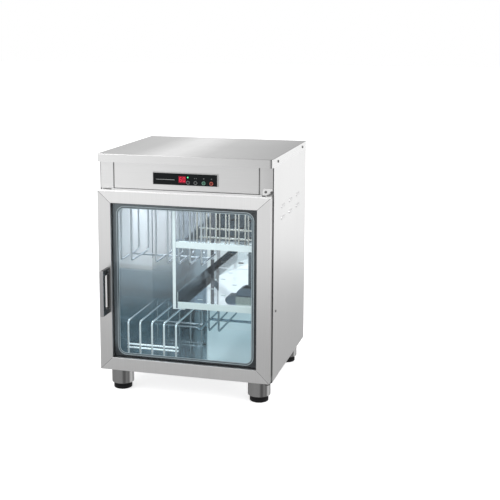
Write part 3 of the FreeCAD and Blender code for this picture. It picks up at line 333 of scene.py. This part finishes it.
M["key_green"] = plastic("key_green", (0.045, 0.135, 0.095), 0.3, 900, 0.15, spec=0.2)
M["key_red"] = plastic("key_red", (0.16, 0.022, 0.020), 0.3, 900, 0.15, spec=0.2)
M["ring_green"] = plastic("ring_green", (0.22, 0.42, 0.33), 0.35, 900, 0.1)
# the red ring round the stop key carries a faint painted glow
M["ring_red"] = plastic("ring_red", (0.62, 0.17, 0.12), 0.35, 900, 0.1, emit=((0.8, 0.10, 0.05), 0.12))
M["ring_grey"] = plastic("ring_grey", (0.26, 0.28, 0.28), 0.35, 900, 0.1)
M["black_plastic"] = plastic("black_plastic", (0.007, 0.007, 0.008), 0.42, 1500, 0.45, 0.0001, spec=0.25)
M["trim_grey"] = plain_metal("trim_grey", (0.44, 0.44, 0.45), 0.34, 500, 0.15)
M["motor_paint"] = plastic("motor_paint", (0.05, 0.055, 0.06), 0.45, 500, 0.5)
M["ballast_paint"] = plastic("ballast_paint", (0.68, 0.68, 0.66), 0.4, 500, 0.3)
M["heater_steel"] = plain_metal("heater_steel", (0.30, 0.28, 0.27), 0.42, 120, 0.4)
M["rubber"] = plastic("rubber", (0.016, 0.018, 0.02), 0.6, 900, 0.5, 0.00012)
M["ceramic"] = plastic("ceramic", (0.80, 0.80, 0.78), 0.2, 300, 0.1, coat=0.5)
M["nylon"] = plastic("nylon", (0.70, 0.70, 0.66), 0.4, 600, 0.2)
M["magnet"] = plastic("magnet", (0.05, 0.05, 0.055), 0.5, 300, 0.5)
M["door_glass"] = glass("door_glass", (0.965, 0.985, 0.99), smear=True)
M["lamp_glass"] = plastic("lamp_glass", (0.85, 0.92, 1.0), 0.1, 300, 0.05, coat=0.5, emit=((0.62, 0.82, 1.0), 1.2))
M["print_slate"] = plastic("print_slate", (0.120, 0.142, 0.160), 0.3, 1200, 0.05)
M["line_silver"] = plastic("line_silver", (0.50, 0.57, 0.60), 0.3, 1200, 0.05)
M["line_faint"] = plastic("line_faint", (0.42, 0.50, 0.54), 0.3, 1200, 0.05)
M["print_grey"] = plastic("print_grey", (0.20, 0.21, 0.21), 0.4, 1200, 0.05)
M["print_white"] = plastic("print_white", (0.62, 0.64, 0.64), 0.4, 1200, 0.05)
M["glow_red"] = plastic("glow_red", (0.6, 0.02, 0.03), 0.3, 800, 0.05, emit=((1.0, 0.03, 0.10), 0.50), spec=0.2)
M["glow_green"] = plastic("glow_green", (0.1, 0.7, 0.3), 0.3, 800, 0.05, emit=((0.10, 1.0, 0.35), 1.6))
M["seam_dark"] = plastic("seam_dark", (0.28, 0.28, 0.28), 0.5, 900, 0.1)
M["seam_grey"] = plastic("seam_grey", (0.20, 0.20, 0.20), 0.45, 900, 0.1)
M["bezel_silver"] = plain_metal("bezel_silver", (0.62, 0.62, 0.62), 0.3, 500, 0.1)



def zone_material(name, base, layers):
    k = Mat(name)
    k.principled()
    k.zones(base, layers(k))
    return k.m


X_, Y_, Z_ = (1, 0, 0), (0, 1, 0), (0, 0, 1)
# tones for the painted reflections and shade on the chamber's walls, floor and shelf
LAVENDER, PALE = (0.95, 0.95, 0.965), (0.88, 0.86, 0.85)
SLATE, DEEP, UPPER_SHADE = (0.26, 0.34, 0.41), (0.24, 0.335, 0.385), (0.10, 0.125, 0.15)
RIM = (0.062, 0.098, 0.130)


def rim_streak(k):
    """A painted reflection of the shelf's dark left rim: a slanting streak on the polished steel behind it."""
    lean = (-0.868, 0, 1)
    return k.times(k.times(k.plane(lean, 0.2975, 0.2995), k.less(k.plane(lean, 0.3243, 0.3263))), k.plane(X_, -0.0315, -0.0305))


def back_layers(k):
    """Painted reflections and shade: bright and glowing at the upper left, painted mirror-dark below; behind the shelf
    a bright glowing zone stands for a clear reflection, with a dark zone of painted shade above it, and a line of
    painted shade runs in the left corner.
    """
    above = k.plane(Z_, 0.372, 0.384)
    below = k.less(above)
    low = k.less(k.plane(Z_, 0.215, 0.350))
    under = k.less(k.plane(Z_, 0.262, 0.268))
    mid = k.plane(X_, -0.156, -0.126)
    right = k.plane(X_, -0.0415, -0.0400)
    return [
        (k.less(k.plane(Z_, 0.310, 0.313)), (PALE, 0.4, 0.25, (0.07, 0.065, 0.065))),
        (mid, ((0.60, 0.62, 0.67), 0.6, 0.20, (0.02, 0.02, 0.025))),
        (k.times(k.plane(X_, -0.156, -0.150), below), (SLATE, 1.0, 0.07, (0.190, 0.205, 0.222))),
        (low, (DEEP, 1.0, 0.14, (0.085, 0.088, 0.092))),
        (k.less(k.plane(Z_, 0.11, 0.23)), (DEEP, 1.0, 0.14, 0.0)),
        # painted shade: a dark zone at the upper right
        (k.times(k.plane((1, 0, -1), -0.500, -0.480), above), (UPPER_SHADE, 1.0, 0.25, 0.0)),
        (k.times(right, below), ((0.96, 0.975, 0.985), 0.86, 0.06, (0.17, 0.175, 0.18))),
        (k.times(rim_streak(k), below), (RIM, 1.0, 0.20, 0.0)),
        (k.times(right, under), ((0.70, 0.84, 0.88), 0.4, 0.20, (0.085, 0.135, 0.155))),
        (k.times(right, k.less(k.plane(Z_, 0.10, 0.25))), ((0.76, 0.87, 0.90), 0.4, 0.20, (0.155, 0.205, 0.220))),
        # painted shade: a dark line in the left corner
        (k.times(k.less(k.plane(X_, -0.2200, -0.2190)), k.plane(Z_, 0.312, 0.314)), ((0.20, 0.22, 0.25), 0.8, 0.2, (0.02, 0.02, 0.02))),
    ]


M["back_wall_steel"] = zone_material("back_wall_steel", ((0.82, 0.805, 0.82), 0.45, 0.25, (0.10, 0.09, 0.09)), back_layers)
# on the left wall a painted reflection: the upper part is bright and glows, the bright part ends along a slanting line,
# and below it the wall is painted mirror-dark, darkest low down
M["left_wall_steel"] = zone_material("left_wall_steel", ((0.96, 0.96, 0.97), 0.4, 0.25, (0.16, 0.155, 0.155)), lambda k: [
    (k.less(k.plane((0, 0.264, 1), 0.322, 0.334)), (PALE, 0.4, 0.25, (0.07, 0.065, 0.065))),
    (k.less(k.plane((0, 0.264, 1), 0.306, 0.320)), ((0.33, 0.42, 0.465), 1.0, 0.16, (0.125, 0.138, 0.150))),
    (k.less(k.plane((0, 0.264, 1), 0.150, 0.290)), ((0.33, 0.42, 0.465), 1.0, 0.16, (0.010, 0.020, 0.025)))])
# a mirror floor: it repeats the dark and the pale part of the back wall, and to the right of a slanting line a paler
# glowing zone, stronger towards the front, is painted reflection
M["floor_steel"] = zone_material("floor_steel", ((0.74, 0.80, 0.82), 1.0, 0.09, 0.0), lambda k: [
    (k.plane((0.958, 0.286, 0), 0.0045, 0.0080), ((0.84, 0.90, 0.92), 0.9, 0.12, (0.055, 0.065, 0.070))),
    (k.times(k.plane((0.958, 0.286, 0), 0.0045, 0.0080), k.less(k.plane(Y_, -0.10, 0.08))),
     ((0.84, 0.90, 0.92), 0.9, 0.12, (0.17, 0.180, 0.180)))])
# painted light and reflections on the shelf: the top and front faces glow; on the top a bluish mirror-dark zone and a
# pale glowing zone are painted reflections; the left rim is painted dark as painted shade, with a painted highlight
# along its top edge; the rear upstand gets a bright glowing mirror face and the back wall's painted streak
M["shelf_steel"] = zone_material("shelf_steel", ((0.96, 0.975, 0.985), 0.96, 0.055, 0.0), lambda k: [
    (k.facing((0, 0, 1)), (None, None, None, (0.04, 0.042, 0.044))),
    (k.times(k.facing((0, 0, 1)), k.less(k.plane((0.958, 0.287, 0), 0.0030, 0.0045))), ((0.46, 0.54, 0.59), 1.0, 0.07, 0.0)),
    (k.times(k.facing((0, 0, 1)), k.plane((0.9626, 0.2705, 0), 0.0400, 0.0425)), ((0.95, 0.965, 0.975), 0.4, 0.15, (0.30, 0.31, 0.32))),
    (k.less(k.plane(X_, -0.0295, -0.0285)), (RIM, 1.0, 0.25, 0.0)),
    (k.times(k.less(k.plane(X_, -0.0295, -0.0285)), k.plane(Z_, 0.2982, 0.2986)), ((0.30, 0.33, 0.36), 1.0, 0.2, 0.0)),
    (k.facing((0, -1, 0)), ((0.92, 0.97, 0.97), 0.3, 0.2, (0.11, 0.13, 0.12))),
    (k.times(k.facing((0, -1, 0)), k.plane(Y_, 0.10, 0.12)), ((0.96, 0.975, 0.985), 0.92, 0.055, (0.10, 0.103, 0.106))),
    (k.times(rim_streak(k), k.plane(Y_, 0.10, 0.12)), (RIM, 1.0, 0.20, 0.0))])
# painted light and shade on the shelf frame's bars: faces towards +X are darker, faces towards the front and upward
# glow, and the upper faces low down and the part towards the back are painted dark
M["bar_steel"] = zone_material("bar_steel", ((0.80, 0.82, 0.84), 0.7, 0.25, 0.0), lambda k: [
    (k.facing((1, 0, 0)), ((0.34, 0.37, 0.40), 0.9, 0.2, 0.0)),
    (k.facing((0, 0, 1)), (None, None, None, (0.15, 0.17, 0.17))),
    (k.facing((0, -1, 0)), ((0.95, 0.98, 0.98), 0.3, 0.25, (0.17, 0.18, 0.18))),
    (k.times(k.facing((0, 0, 1)), k.less(k.plane(Z_, 0.2540, 0.2545))), ((0.20, 0.22, 0.275), 1.0, 0.12, 0.0)),
    (k.plane(Y_, 0.048, 0.052), ((0.16, 0.165, 0.19), 1.0, 0.10, 0.0))])
# painted light and shade on the air outlet cowl: its tone changes face by face; a paler patch low on the right of the
# front face and a darker band at the top are laid on by position
M["cowl_steel"] = zone_material("cowl_steel", ((0.24, 0.29, 0.34), 1.0, 0.12), lambda k: [
    (k.facing((0, 0, 1), 0.5, 0.9), ((0.17, 0.20, 0.235), 1.0, 0.10)),
    (k.facing((0, -1, 0), 0.6, 0.9), ((0.21, 0.26, 0.32), 0.95, 0.15)),
    (k.times(k.facing((0, -1, 0), 0.6, 0.9), k.times(k.plane(X_, 0.134, 0.137), k.less(k.plane(Z_, 0.2945, 0.2965)))),
     ((0.50, 0.56, 0.54), 0.9, 0.15)),
    (k.plane(Z_, 0.316, 0.318), ((0.13, 0.15, 0.17), 1.0, 0.15))])
# the glass border's black print with a painted sheen: grey at the left, fading to near black towards the right and the
# bottom
M["print_black_and_sheen"] = zone_material("print_black_and_sheen", ((0.140, 0.160, 0.178), 0.0, 0.3), lambda k: [
    (k.plane(X_, -0.17, 0.17), ((0.014, 0.017, 0.022), None, None)),
    (k.less(k.plane(Z_, 0.11, 0.16)), ((0.016, 0.019, 0.024), None, None))])
# painted light on the board rack: the wires glow bright at the front, fade to grey, and are painted dark towards the
# back
M["board_wire"] = zone_material("board_wire", ((0.95, 0.97, 0.98), 0.85, 0.16, (0.20, 0.215, 0.22)), lambda k: [
    (k.plane(Y_, -0.160, -0.120), ((0.80, 0.84, 0.86), 1.0, 0.16, (0.03, 0.035, 0.04))),
    (k.plane(Y_, -0.02, 0.09), ((0.42, 0.47, 0.50), 1.0, 0.16, 0.0))])
M["hook_wire"] = plain_metal("hook_wire", (0.36, 0.47, 0.53), 0.16, 300, 0.1)
M["rack_steel"] = plain_metal("rack_steel", (0.66, 0.68, 0.71), 0.30, 300, 0.1)
M["knife_wire"] = plain_metal("knife_wire", (0.84, 0.79, 0.73), 0.20, 300, 0.1)
# the handle: black body; on the wall of its grip opening a pale glowing zone is painted light, standing in for the
# light seen through the opening
M["handle_black"] = zone_material("handle_black", ((0.010, 0.010, 0.011), 0.0, 0.40, 0.0), lambda k: [
    (k.times(k.facing((0, -1, 0)), k.times(k.plane(Y_, -0.222, -0.2215), k.less(k.plane(Y_, -0.2195, -0.2190)))),
     ((0.010, 0.010, 0.011), 0.0, 0.40, 0.0)),
    (k.times(k.times(k.facing((0, -1, 0)), k.less(k.plane(X_, -0.2204, -0.2200))),
             k.times(k.plane(Y_, -0.222, -0.2215), k.less(k.plane(Y_, -0.2195, -0.2190)))),
     ((0.70, 0.70, 0.70), 0.2, 0.35, (0.12, 0.12, 0.12)))])
# the door's upper and lower rails; the top return carries a painted highlight, paler and glowing
M["door_rail_steel"] = zone_material("door_rail_steel", (FRONT, 1.0, 0.32, 0.0), lambda k: [
    (k.times(k.facing((0, 0, 1), 0.6, 0.9), k.plane(Z_, 0.5862, 0.5868)), ((0.85, 0.85, 0.85), 0.4, 0.3, (0.34, 0.34, 0.34)))])
# painted light: a pale glowing finish for strips laid over places in shade
M["painted_light_strip"] = zone_material("painted_light_strip", ((0.80, 0.80, 0.80), 0.3, 0.35, (0.30, 0.30, 0.30)), lambda k: [])


def leg_material():
    """Polished tube with painted reflection: the dark and light bands of a round surface, laid on by the way each face
    points.
    """
    k = Mat("leg_steel")
    p = k.principled(Metallic=1.0)
    sx = k.add("ShaderNodeSeparateXYZ")
    k.link(k.add("ShaderNodeTexCoord").outputs["Normal"], sx.inputs[0])
    m = k.add("ShaderNodeMapRange")
    m.inputs["From Min"].default_value = -1.0
    k.link(sx.outputs[0], m.inputs["Value"])
    hair = k.noise(900.0, (1.0, 1.0, 0.012), 2.0, 0.6)
    c = k.mix("MULTIPLY", k.ramp(m.outputs["Result"], LEG_REFLECTION_BANDS), k.ramp(hair, [(0.2, 0.96), (0.8, 1.0)]))
    k.link(c, p.inputs["Base Color"])
    k.link(k.ramp(hair, [(0.2, 0.14), (0.8, 0.22)]), p.inputs["Roughness"])
    return k.m


# painted reflection bands round the tube, by the facing of the surface
LEG_REFLECTION_BANDS = [(0.0, 0.09), (0.05, 0.13), (0.12, 0.36), (0.40, 0.42), (0.62, 0.40), (0.70, 0.17), (0.76, 0.19), (0.81, 0.34),
             (0.90, 0.26), (0.945, 0.92), (0.98, 0.92), (1.0, 0.5)]
M["leg_steel"] = leg_material()

NODE_MATERIALS = {
    "front_steel": ["right_front_post", "left_front_post", "header_rail", "lower_front_rail", "fascia_panel"],
    "door_rail_steel": ["door_top_rail", "door_bottom_rail"],
    "door_stile_steel": ["door_handle_stile", "door_hinge_stile"],
    "worktop_steel": ["worktop"],
    "side_steel": ["right_side_panel", "left_side_panel"],
    "rear_steel": ["rear_panel"],
    "floor_steel": ["chamber_floor"],
    "chamber_steel": ["chamber_ceiling", "chamber_right_wall"],
    "left_wall_steel": ["chamber_left_wall"],
    "back_wall_steel": ["chamber_back_wall"],
    "shelf_steel": ["lower_shelf"],
    "bar_steel": ["shelf_frame"],
    "cowl_steel": ["air_outlet_cowl"],
    "wire_steel": ["temperature_probe"],
    "board_wire": ["board_rack"],
    "hook_wire": ["utensil_hooks"],
    "rack_steel": ["hanging_rack"],
    "knife_wire": ["knife_rack"],
    "leg_steel": ["leg_sleeves"],
    "handle_black": ["handle_body"],
    "zinc_steel": ["base_pan", "fan_housing", "fan_impeller", "glazing_strips"],
    "bracket_steel": ["top_hinge_bracket"],
    "dark_bracket": ["bottom_hinge_bracket"],
    "screw_steel": ["hinge_pins", "case_screws"],
    "panel_black": ["control_bezel"],
    "lens_red": ["display_window"],
    "board_green": ["control_board"],
    "key_clear": ["menu_button", "time_button"],
    "key_green": ["start_button"],
    "key_red": ["stop_button"],
    "black_plastic": ["power_gland", "reed_switch", "foot_front_left", "foot_front_right",
                      "foot_rear_left", "foot_rear_right"],
    "trim_grey": ["handle_trim"],
    "motor_paint": ["fan_motor"],
    "ballast_paint": ["lamp_ballast"],
    "heater_steel": ["heater_element"],
    "rubber": ["glass_gasket", "door_seal"],
    "ceramic": ["lamp_sockets"],
    "nylon": ["hinge_bushes"],
    "magnet": ["door_magnet"],
    "door_glass": ["door_glass"],
    "lamp_glass": ["uv_lamp"],
}
for mat, names in NODE_MATERIALS.items():
    for n in names:
        o = nodes[n]
        if not o.material_slots:
            o.data.materials.append(M[mat])
        for s in o.material_slots:
            s.material = M[mat]


# ------------------------------------------------------------------ pieces
def piece(name, bm, mat, body, smooth=False):
    bmesh.ops.remove_doubles(bm, verts=bm.verts, dist=1e-7)
    bmesh.ops.recalc_face_normals(bm, faces=bm.faces)
    me = bpy.data.meshes.new(name)
    bm.to_mesh(me)
    bm.free()
    if smooth:
        for p in me.polygons:
            p.use_smooth = True
    o = bpy.data.objects.new(name, me)
    scene.collection.objects.link(o)
    me.materials.append(M[mat])
    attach(o, body)
    return o


def rounded_rect(x0, x1, z0, z1, r, n=10):
    pts = []
    for cx, cz, a0 in ((x1 - r, z1 - r, 0), (x0 + r, z1 - r, 90), (x0 + r, z0 + r, 180), (x1 - r, z0 + r, 270)):
        for i in range(n + 1):
            a = math.radians(a0 + 90.0 * i / n)
            pts.append((cx + r * math.cos(a), cz + r * math.sin(a)))
    return pts


def frame_between(outer, inner, y0, y1):
    """A closed flat ring between two outlines with the same count of points, in mm on the fascia frame."""
    bm = bmesh.new()
    n = len(outer)
    rows = []
    for pts, y in ((outer, y0), (inner, y0), (inner, y1), (outer, y1)):
        rows.append([bm.verts.new((x / 1000, y / 1000 - YC, z / 1000)) for x, z in pts])
    for i in range(n):
        j = (i + 1) % n
        for a, b in ((0, 1), (1, 2), (2, 3), (3, 0)):
            bm.faces.new((rows[a][i], rows[a][j], rows[b][j], rows[b][i]))
    return bm


def square_outline(x0, x1, z0, z1, n=10):
    """A rectangle's outline with as many points as rounded_rect, spread over its sides."""
    pts = []
    for cx, cz, dx0, dz0, dx1, dz1 in (
            (x1, z1, 0, -1, -1, 0), (x0, z1, 1, 0, 0, -1), (x0, z0, 0, 1, 1, 0), (x1, z0, -1, 0, 0, 1)):
        for i in range(n + 1):
            t = i / n
            m = 26.0
            if t <= 0.5:
                f = (1 - 2 * t) * m
                pts.append((cx + dx0 * f, cz + dz0 * f))
            else:
                f = (2 * t - 1) * m
                pts.append((cx + dx1 * f, cz + dz1 * f))
    return pts


# printed border on the back of the door glass, with two light rounded lines laid along its inner edge
PY0, PY1 = -13.95, -13.75
bx, bz0, bz1 = 198.6, 113.0, 543.8
border = frame_between(square_outline(-209.3, 209.3, 107.8, 552.8), rounded_rect(-bx, bx, bz0, bz1, 24.0), PY0, PY1)
piece("glass_border", border, "print_black_and_sheen", "door")
l1 = frame_between(rounded_rect(-bx, bx, bz0, bz1, 24.0), rounded_rect(-bx + 1.9, bx - 1.9, bz0 + 1.9, bz1 - 1.9, 22.1), PY0, PY1)
piece("glass_line_outer", l1, "line_silver", "door")
a, b, c = 1.9, 5.0, 6.8
l2 = frame_between(rounded_rect(-bx + a, bx - a, bz0 + a, bz1 - a, 22.1), rounded_rect(-bx + b, bx - b, bz0 + b, bz1 - b, 19.0), PY0, PY1)
piece("glass_band_inner", l2, "print_slate", "door")
l3 = frame_between(rounded_rect(-bx + b, bx - b, bz0 + b, bz1 - b, 19.0), rounded_rect(-bx + c, bx - c, bz0 + c, bz1 - c, 17.2), PY0, PY1)
piece("glass_line_inner", l3, "line_faint", "door")


def slab(bm, x0, x1, y0, y1, z0, z1, skew=0.0, bevel=0.0):
    """A block in mm on the fascia frame, with bevelled edges."""
    vs = []
    for x, y, z in ((x0, y0, z0), (x1, y0, z0), (x1, y1, z0), (x0, y1, z0),
                    (x0, y0, z1), (x1, y0, z1), (x1, y1, z1), (x0, y1, z1)):
        vs.append(bm.verts.new(((x + skew * (z - z0)) / 1000, y / 1000 - YC, z / 1000)))
    fs = [bm.faces.new([vs[i] for i in f]) for f in
          ((0, 1, 5, 4), (1, 2, 6, 5), (2, 3, 7, 6), (3, 0, 4, 7), (4, 5, 6, 7), (3, 2, 1, 0))]
    if bevel:
        es = list({ed for f in fs for ed in f.edges})
        bmesh.ops.bevel(bm, geom=es, offset=bevel / 1000, segments=2, affect="EDGES")


def strip(bm, a, b, w, y0, y1):
    """A thin bar from a to b, both (x, z) in mm on the fascia frame, w wide."""
    d = Vector((b[0] - a[0], b[1] - a[1])).normalized()
    nx, nz = -d[1] * w / 2, d[0] * w / 2
    q = [(a[0] + nx, a[1] + nz), (b[0] + nx, b[1] + nz), (b[0] - nx, b[1] - nz), (a[0] - nx, a[1] - nz)]
    f = [bm.verts.new((x / 1000, y0 / 1000 - YC, z / 1000)) for x, z in q]
    g = [bm.verts.new((x / 1000, y1 / 1000 - YC, z / 1000)) for x, z in q]
    bm.faces.new(f)
    bm.faces.new(g[::-1])
    for i in range(4):
        j = (i + 1) % 4
        bm.faces.new((f[i], g[i], g[j], f[j]))


# dark mitre seams where the door's rails and stiles meet
bm = bmesh.new()
for sx in (-1, 1):
    strip(bm, (sx * 246.3, 586.9), (sx * 210.4, 553.9), 1.1, -30.06, -29.96)
    strip(bm, (sx * 246.3, 71.2), (sx * 210.4, 106.6), 1.1, -30.06, -29.96)
piece("door_mitre_seams", bm, "seam_dark", "door")

# silver border of the control panel
W0, W1, PZ0, PZ1 = -93.6, 93.6, 606.4, 641.6
rim = frame_between(rounded_rect(W0, W1, PZ0, PZ1, 1.2, 4), rounded_rect(W0 + 1.5, W1 - 1.5, PZ0 + 1.5, PZ1 - 1.5, 0.9, 4), -2.78, -2.48)
piece("panel_rim", rim, "bezel_silver", "cabinet")

# seven-segment digits on the display window
SEG = {"0": "abcdef", "3": "abcdg", "6": "acdefg", "8": "abcdefg"}


def digit(bm, ch, x, z, w, h, t, y):
    def seg(name):
        return {
            "a": (x + t * 0.6, x + w - t * 0.6, z + h - t, z + h), "d": (x + t * 0.6, x + w - t * 0.6, z, z + t),
            "g": (x + t * 0.6, x + w - t * 0.6, z + h / 2 - t / 2, z + h / 2 + t / 2),
            "f": (x, x + t, z + h / 2 + t * 0.3, z + h - t * 0.5), "b": (x + w - t, x + w, z + h / 2 + t * 0.3, z + h - t * 0.5),
            "e": (x, x + t, z + t * 0.5, z + h / 2 - t * 0.3), "c": (x + w - t, x + w, z + t * 0.5, z + h / 2 - t * 0.3)}[name]
    for s in SEG[ch]:
        a, b, c, d = seg(s)
        slab(bm, a, b, y, y + 0.12, c, d, 0.06, 0.03)


bm = bmesh.new()
digit(bm, "6", -16.4, 617.4, 7.2, 12.4, 1.7, -2.56)
digit(bm, "0", -6.6, 617.4, 7.2, 12.4, 1.7, -2.56)
piece("display_digits", bm, "glow_red", "cabinet")


def annulus(name, x, z, ro, ri, y0, y1, mat, body, n=40):
    def circ(r):
        return [(x + r * math.cos(2 * math.pi * i / n), z + r * math.sin(2 * math.pi * i / n)) for i in range(n)]
    return piece(name, frame_between(circ(ro), circ(ri), y0, y1), mat, body)


# printed rings round the keys, and small marks above them
KEYS = (("menu", 8.9, "ring_grey", "button_white"), ("time", 30.6, "ring_grey", "button_white"),
        ("start", 53.7, "ring_green", "button_green"), ("stop", 75.6, "ring_red", "button_red"))
for nm, x, mt, sl in KEYS:
    annulus(nm + "_ring", x, 616.0, 4.9, 3.9, -4.60, -4.49, mt, nm + "_key")
bm = bmesh.new()
for x, marks in ((30.6, ((-3.4, 1.9), (1.5, 1.9))), (53.7, ((-1.6, 3.2),)), (75.6, ((-1.6, 3.2),))):
    for dx, w in marks:
        slab(bm, x + dx, x + dx + w, -2.62, -2.49, 627.0, 629.2, 0.0, 0.04)
piece("key_marks", bm, "print_grey", "cabinet")
bm = bmesh.new()
slab(bm, 7.2, 10.2, -4.52, -4.42, 628.9, 631.7, 0.0, 0.04)
piece("lamp_glow", bm, "glow_green", "cabinet")
# the header behind the door's upper edge, and the bead that closes the corner beside the left post; both are pale
# glowing strips of painted light
bm = bmesh.new()
slab(bm, -216.0, 216.0, -0.45, -0.12, 585.4, 590.3, 0.0, 0.05)
piece("header_lip", bm, "painted_light_strip", "cabinet")
bm = bmesh.new()
slab(bm, -247.55, -246.55, 0.15, 0.65, 591.0, 666.0, 0.0, 0.05)
piece("left_corner_bead", bm, "painted_light_strip", "cabinet")
# narrow strips that close the seams beside the fascia
bm = bmesh.new()
for sx in (-1, 1):
    slab(bm, sx * 209.0 - 1.3, sx * 209.0 + 1.3, 0.45, 0.95, 591.9, 666.2, 0.0, 0.05)
piece("fascia_seam_strips", bm, "seam_grey", "cabinet")
# a plain bar where the photographed lettering is left off
bm = bmesh.new()
slab(bm, -84.0, -30.0, -2.62, -2.49, 621.6, 622.4, 0.0, 0.04)
piece("panel_rule", bm, "print_white", "cabinet")


# ------------------------------------------------------------------- stage
def stage_floor():
    bm = bmesh.new()
    bmesh.ops.create_grid(bm, x_segments=2, y_segments=2, size=20.0)
    me = bpy.data.meshes.new("floor")
    bm.to_mesh(me)
    bm.free()
    o = bpy.data.objects.new("floor", me)
    scene.collection.objects.link(o)
    k = Mat("floor_paper")
    seen = k.add("ShaderNodeBsdfPrincipled", Roughness=0.9)
    seen.inputs["Specular IOR Level"].default_value = 0.1
    n = k.noise(3.0)
    k.link(k.ramp(n, [(0.3, (0.93, 0.93, 0.93)), (0.7, (0.95, 0.95, 0.95))]), seen.inputs["Base Color"])
    seen.inputs["Emission Color"].default_value = (1, 1, 1, 1)
    seen.inputs["Emission Strength"].default_value = 0.62
    ln = k.add("ShaderNodeVectorMath")
    ln.operation = "LENGTH"
    k.link(k.co(), ln.inputs[0])
    mr = k.add("ShaderNodeMapRange")
    mr.inputs["From Min"].default_value = 0.0
    mr.inputs["From Max"].default_value = 4.0
    k.link(ln.outputs["Value"], mr.inputs["Value"])
    shade = k.ramp(mr.outputs[0], [(0.0, 0.42), (0.26, 0.48), (0.33, 0.54), (0.47, 0.92), (0.60, 1.0)])
    em = k.add("ShaderNodeEmission")
    k.link(shade, em.inputs["Color"])
    em.inputs["Strength"].default_value = 1.08
    lp = k.add("ShaderNodeLightPath")
    mx = k.add("ShaderNodeMixShader")
    k.link(lp.outputs["Is Camera Ray"], mx.inputs[0])
    k.link(em.outputs[0], mx.inputs[1])
    k.link(seen.outputs[0], mx.inputs[2])
    k.link(mx.outputs[0], k.out.inputs[0])
    me.materials.append(k.m)
    return o


stage_floor()

world = bpy.data.worlds.new("studio")
scene.world = world
world.use_nodes = True
wt = world.node_tree
wt.nodes.clear()
wo = wt.nodes.new("ShaderNodeOutputWorld")
bg = wt.nodes.new("ShaderNodeBackground")
tc = wt.nodes.new("ShaderNodeTexCoord")
sp = wt.nodes.new("ShaderNodeSeparateXYZ")
rm = wt.nodes.new("ShaderNodeValToRGB")
mr = wt.nodes.new("ShaderNodeMapRange")
mr.inputs["From Min"].default_value = -1.0
mr.inputs["From Max"].default_value = 1.0
wt.links.new(tc.outputs["Generated"], sp.inputs[0])
wt.links.new(sp.outputs["Z"], mr.inputs["Value"])
wt.links.new(mr.outputs[0], rm.inputs[0])
els = rm.color_ramp.elements
els[0].position, els[0].color = 0.40, (0.76, 0.76, 0.76, 1)
els[1].position, els[1].color = 1.0, (0.86, 0.86, 0.86, 1)
lp = wt.nodes.new("ShaderNodeLightPath")
bg2 = wt.nodes.new("ShaderNodeBackground")
bg2.inputs["Color"].default_value = (1, 1, 1, 1)
bg2.inputs["Strength"].default_value = 1.0
mx = wt.nodes.new("ShaderNodeMixShader")
wt.links.new(rm.outputs[0], bg.inputs["Color"])
bg.inputs["Strength"].default_value = 1.02
wt.links.new(lp.outputs["Is Camera Ray"], mx.inputs[0])
wt.links.new(bg.outputs[0], mx.inputs[1])
wt.links.new(bg2.outputs[0], mx.inputs[2])
wt.links.new(mx.outputs[0], wo.inputs[0])


def lamp(name, loc, target, size, power, color=(1, 1, 1), size_y=None):
    d = bpy.data.lights.new(name, "AREA")
    d.shape = "RECTANGLE"
    d.size = size
    d.size_y = size_y or size
    d.energy = power
    d.color = color
    o = bpy.data.objects.new(name, d)
    scene.collection.objects.link(o)
    o.location = loc
    o.rotation_euler = (Vector(target) - Vector(loc)).to_track_quat("-Z", "Y").to_euler()
    return o


lamp("key", (-2.0, -2.6, 2.6), (0, 0, 0.4), 1.6, 30)
lamp("right_fill", (3.0, -0.6, 1.8), (0.2, 0.1, 0.5), 2.0, 26)
# the germicidal lamp's cool light inside the chamber
lamp("chamber_lamp", (-0.05, 0.05, 0.560), (-0.05, 0.0, 0.30), 0.30, 0.62, (0.86, 0.94, 1.0), 0.10)

# ------------------------------------------------------------------ camera
R = [(0.96295337, 0.26966716, 0.00065437), (0.04728558, -0.16646192, -0.98491345),
     (-0.26548989, 0.94845667, -0.17304643)]
cam = bpy.data.cameras.new("camera")
cam.sensor_fit = "HORIZONTAL"
cam.sensor_width = 36.0
cam.lens = 74.815
cam.shift_x = 0.05
cam.shift_y = -0.10
cam.clip_start = 0.05
cam.clip_end = 50.0
co = bpy.data.objects.new("camera", cam)
scene.collection.objects.link(co)
right, up, back = Vector(R[0]), -Vector(R[1]), -Vector(R[2])
m = Matrix((right, up, back)).transposed().to_4x4()
m.translation = Vector((0.8624715, -2.6768427 - YC, 1.0607491))
co.matrix_world = m
scene.camera = co
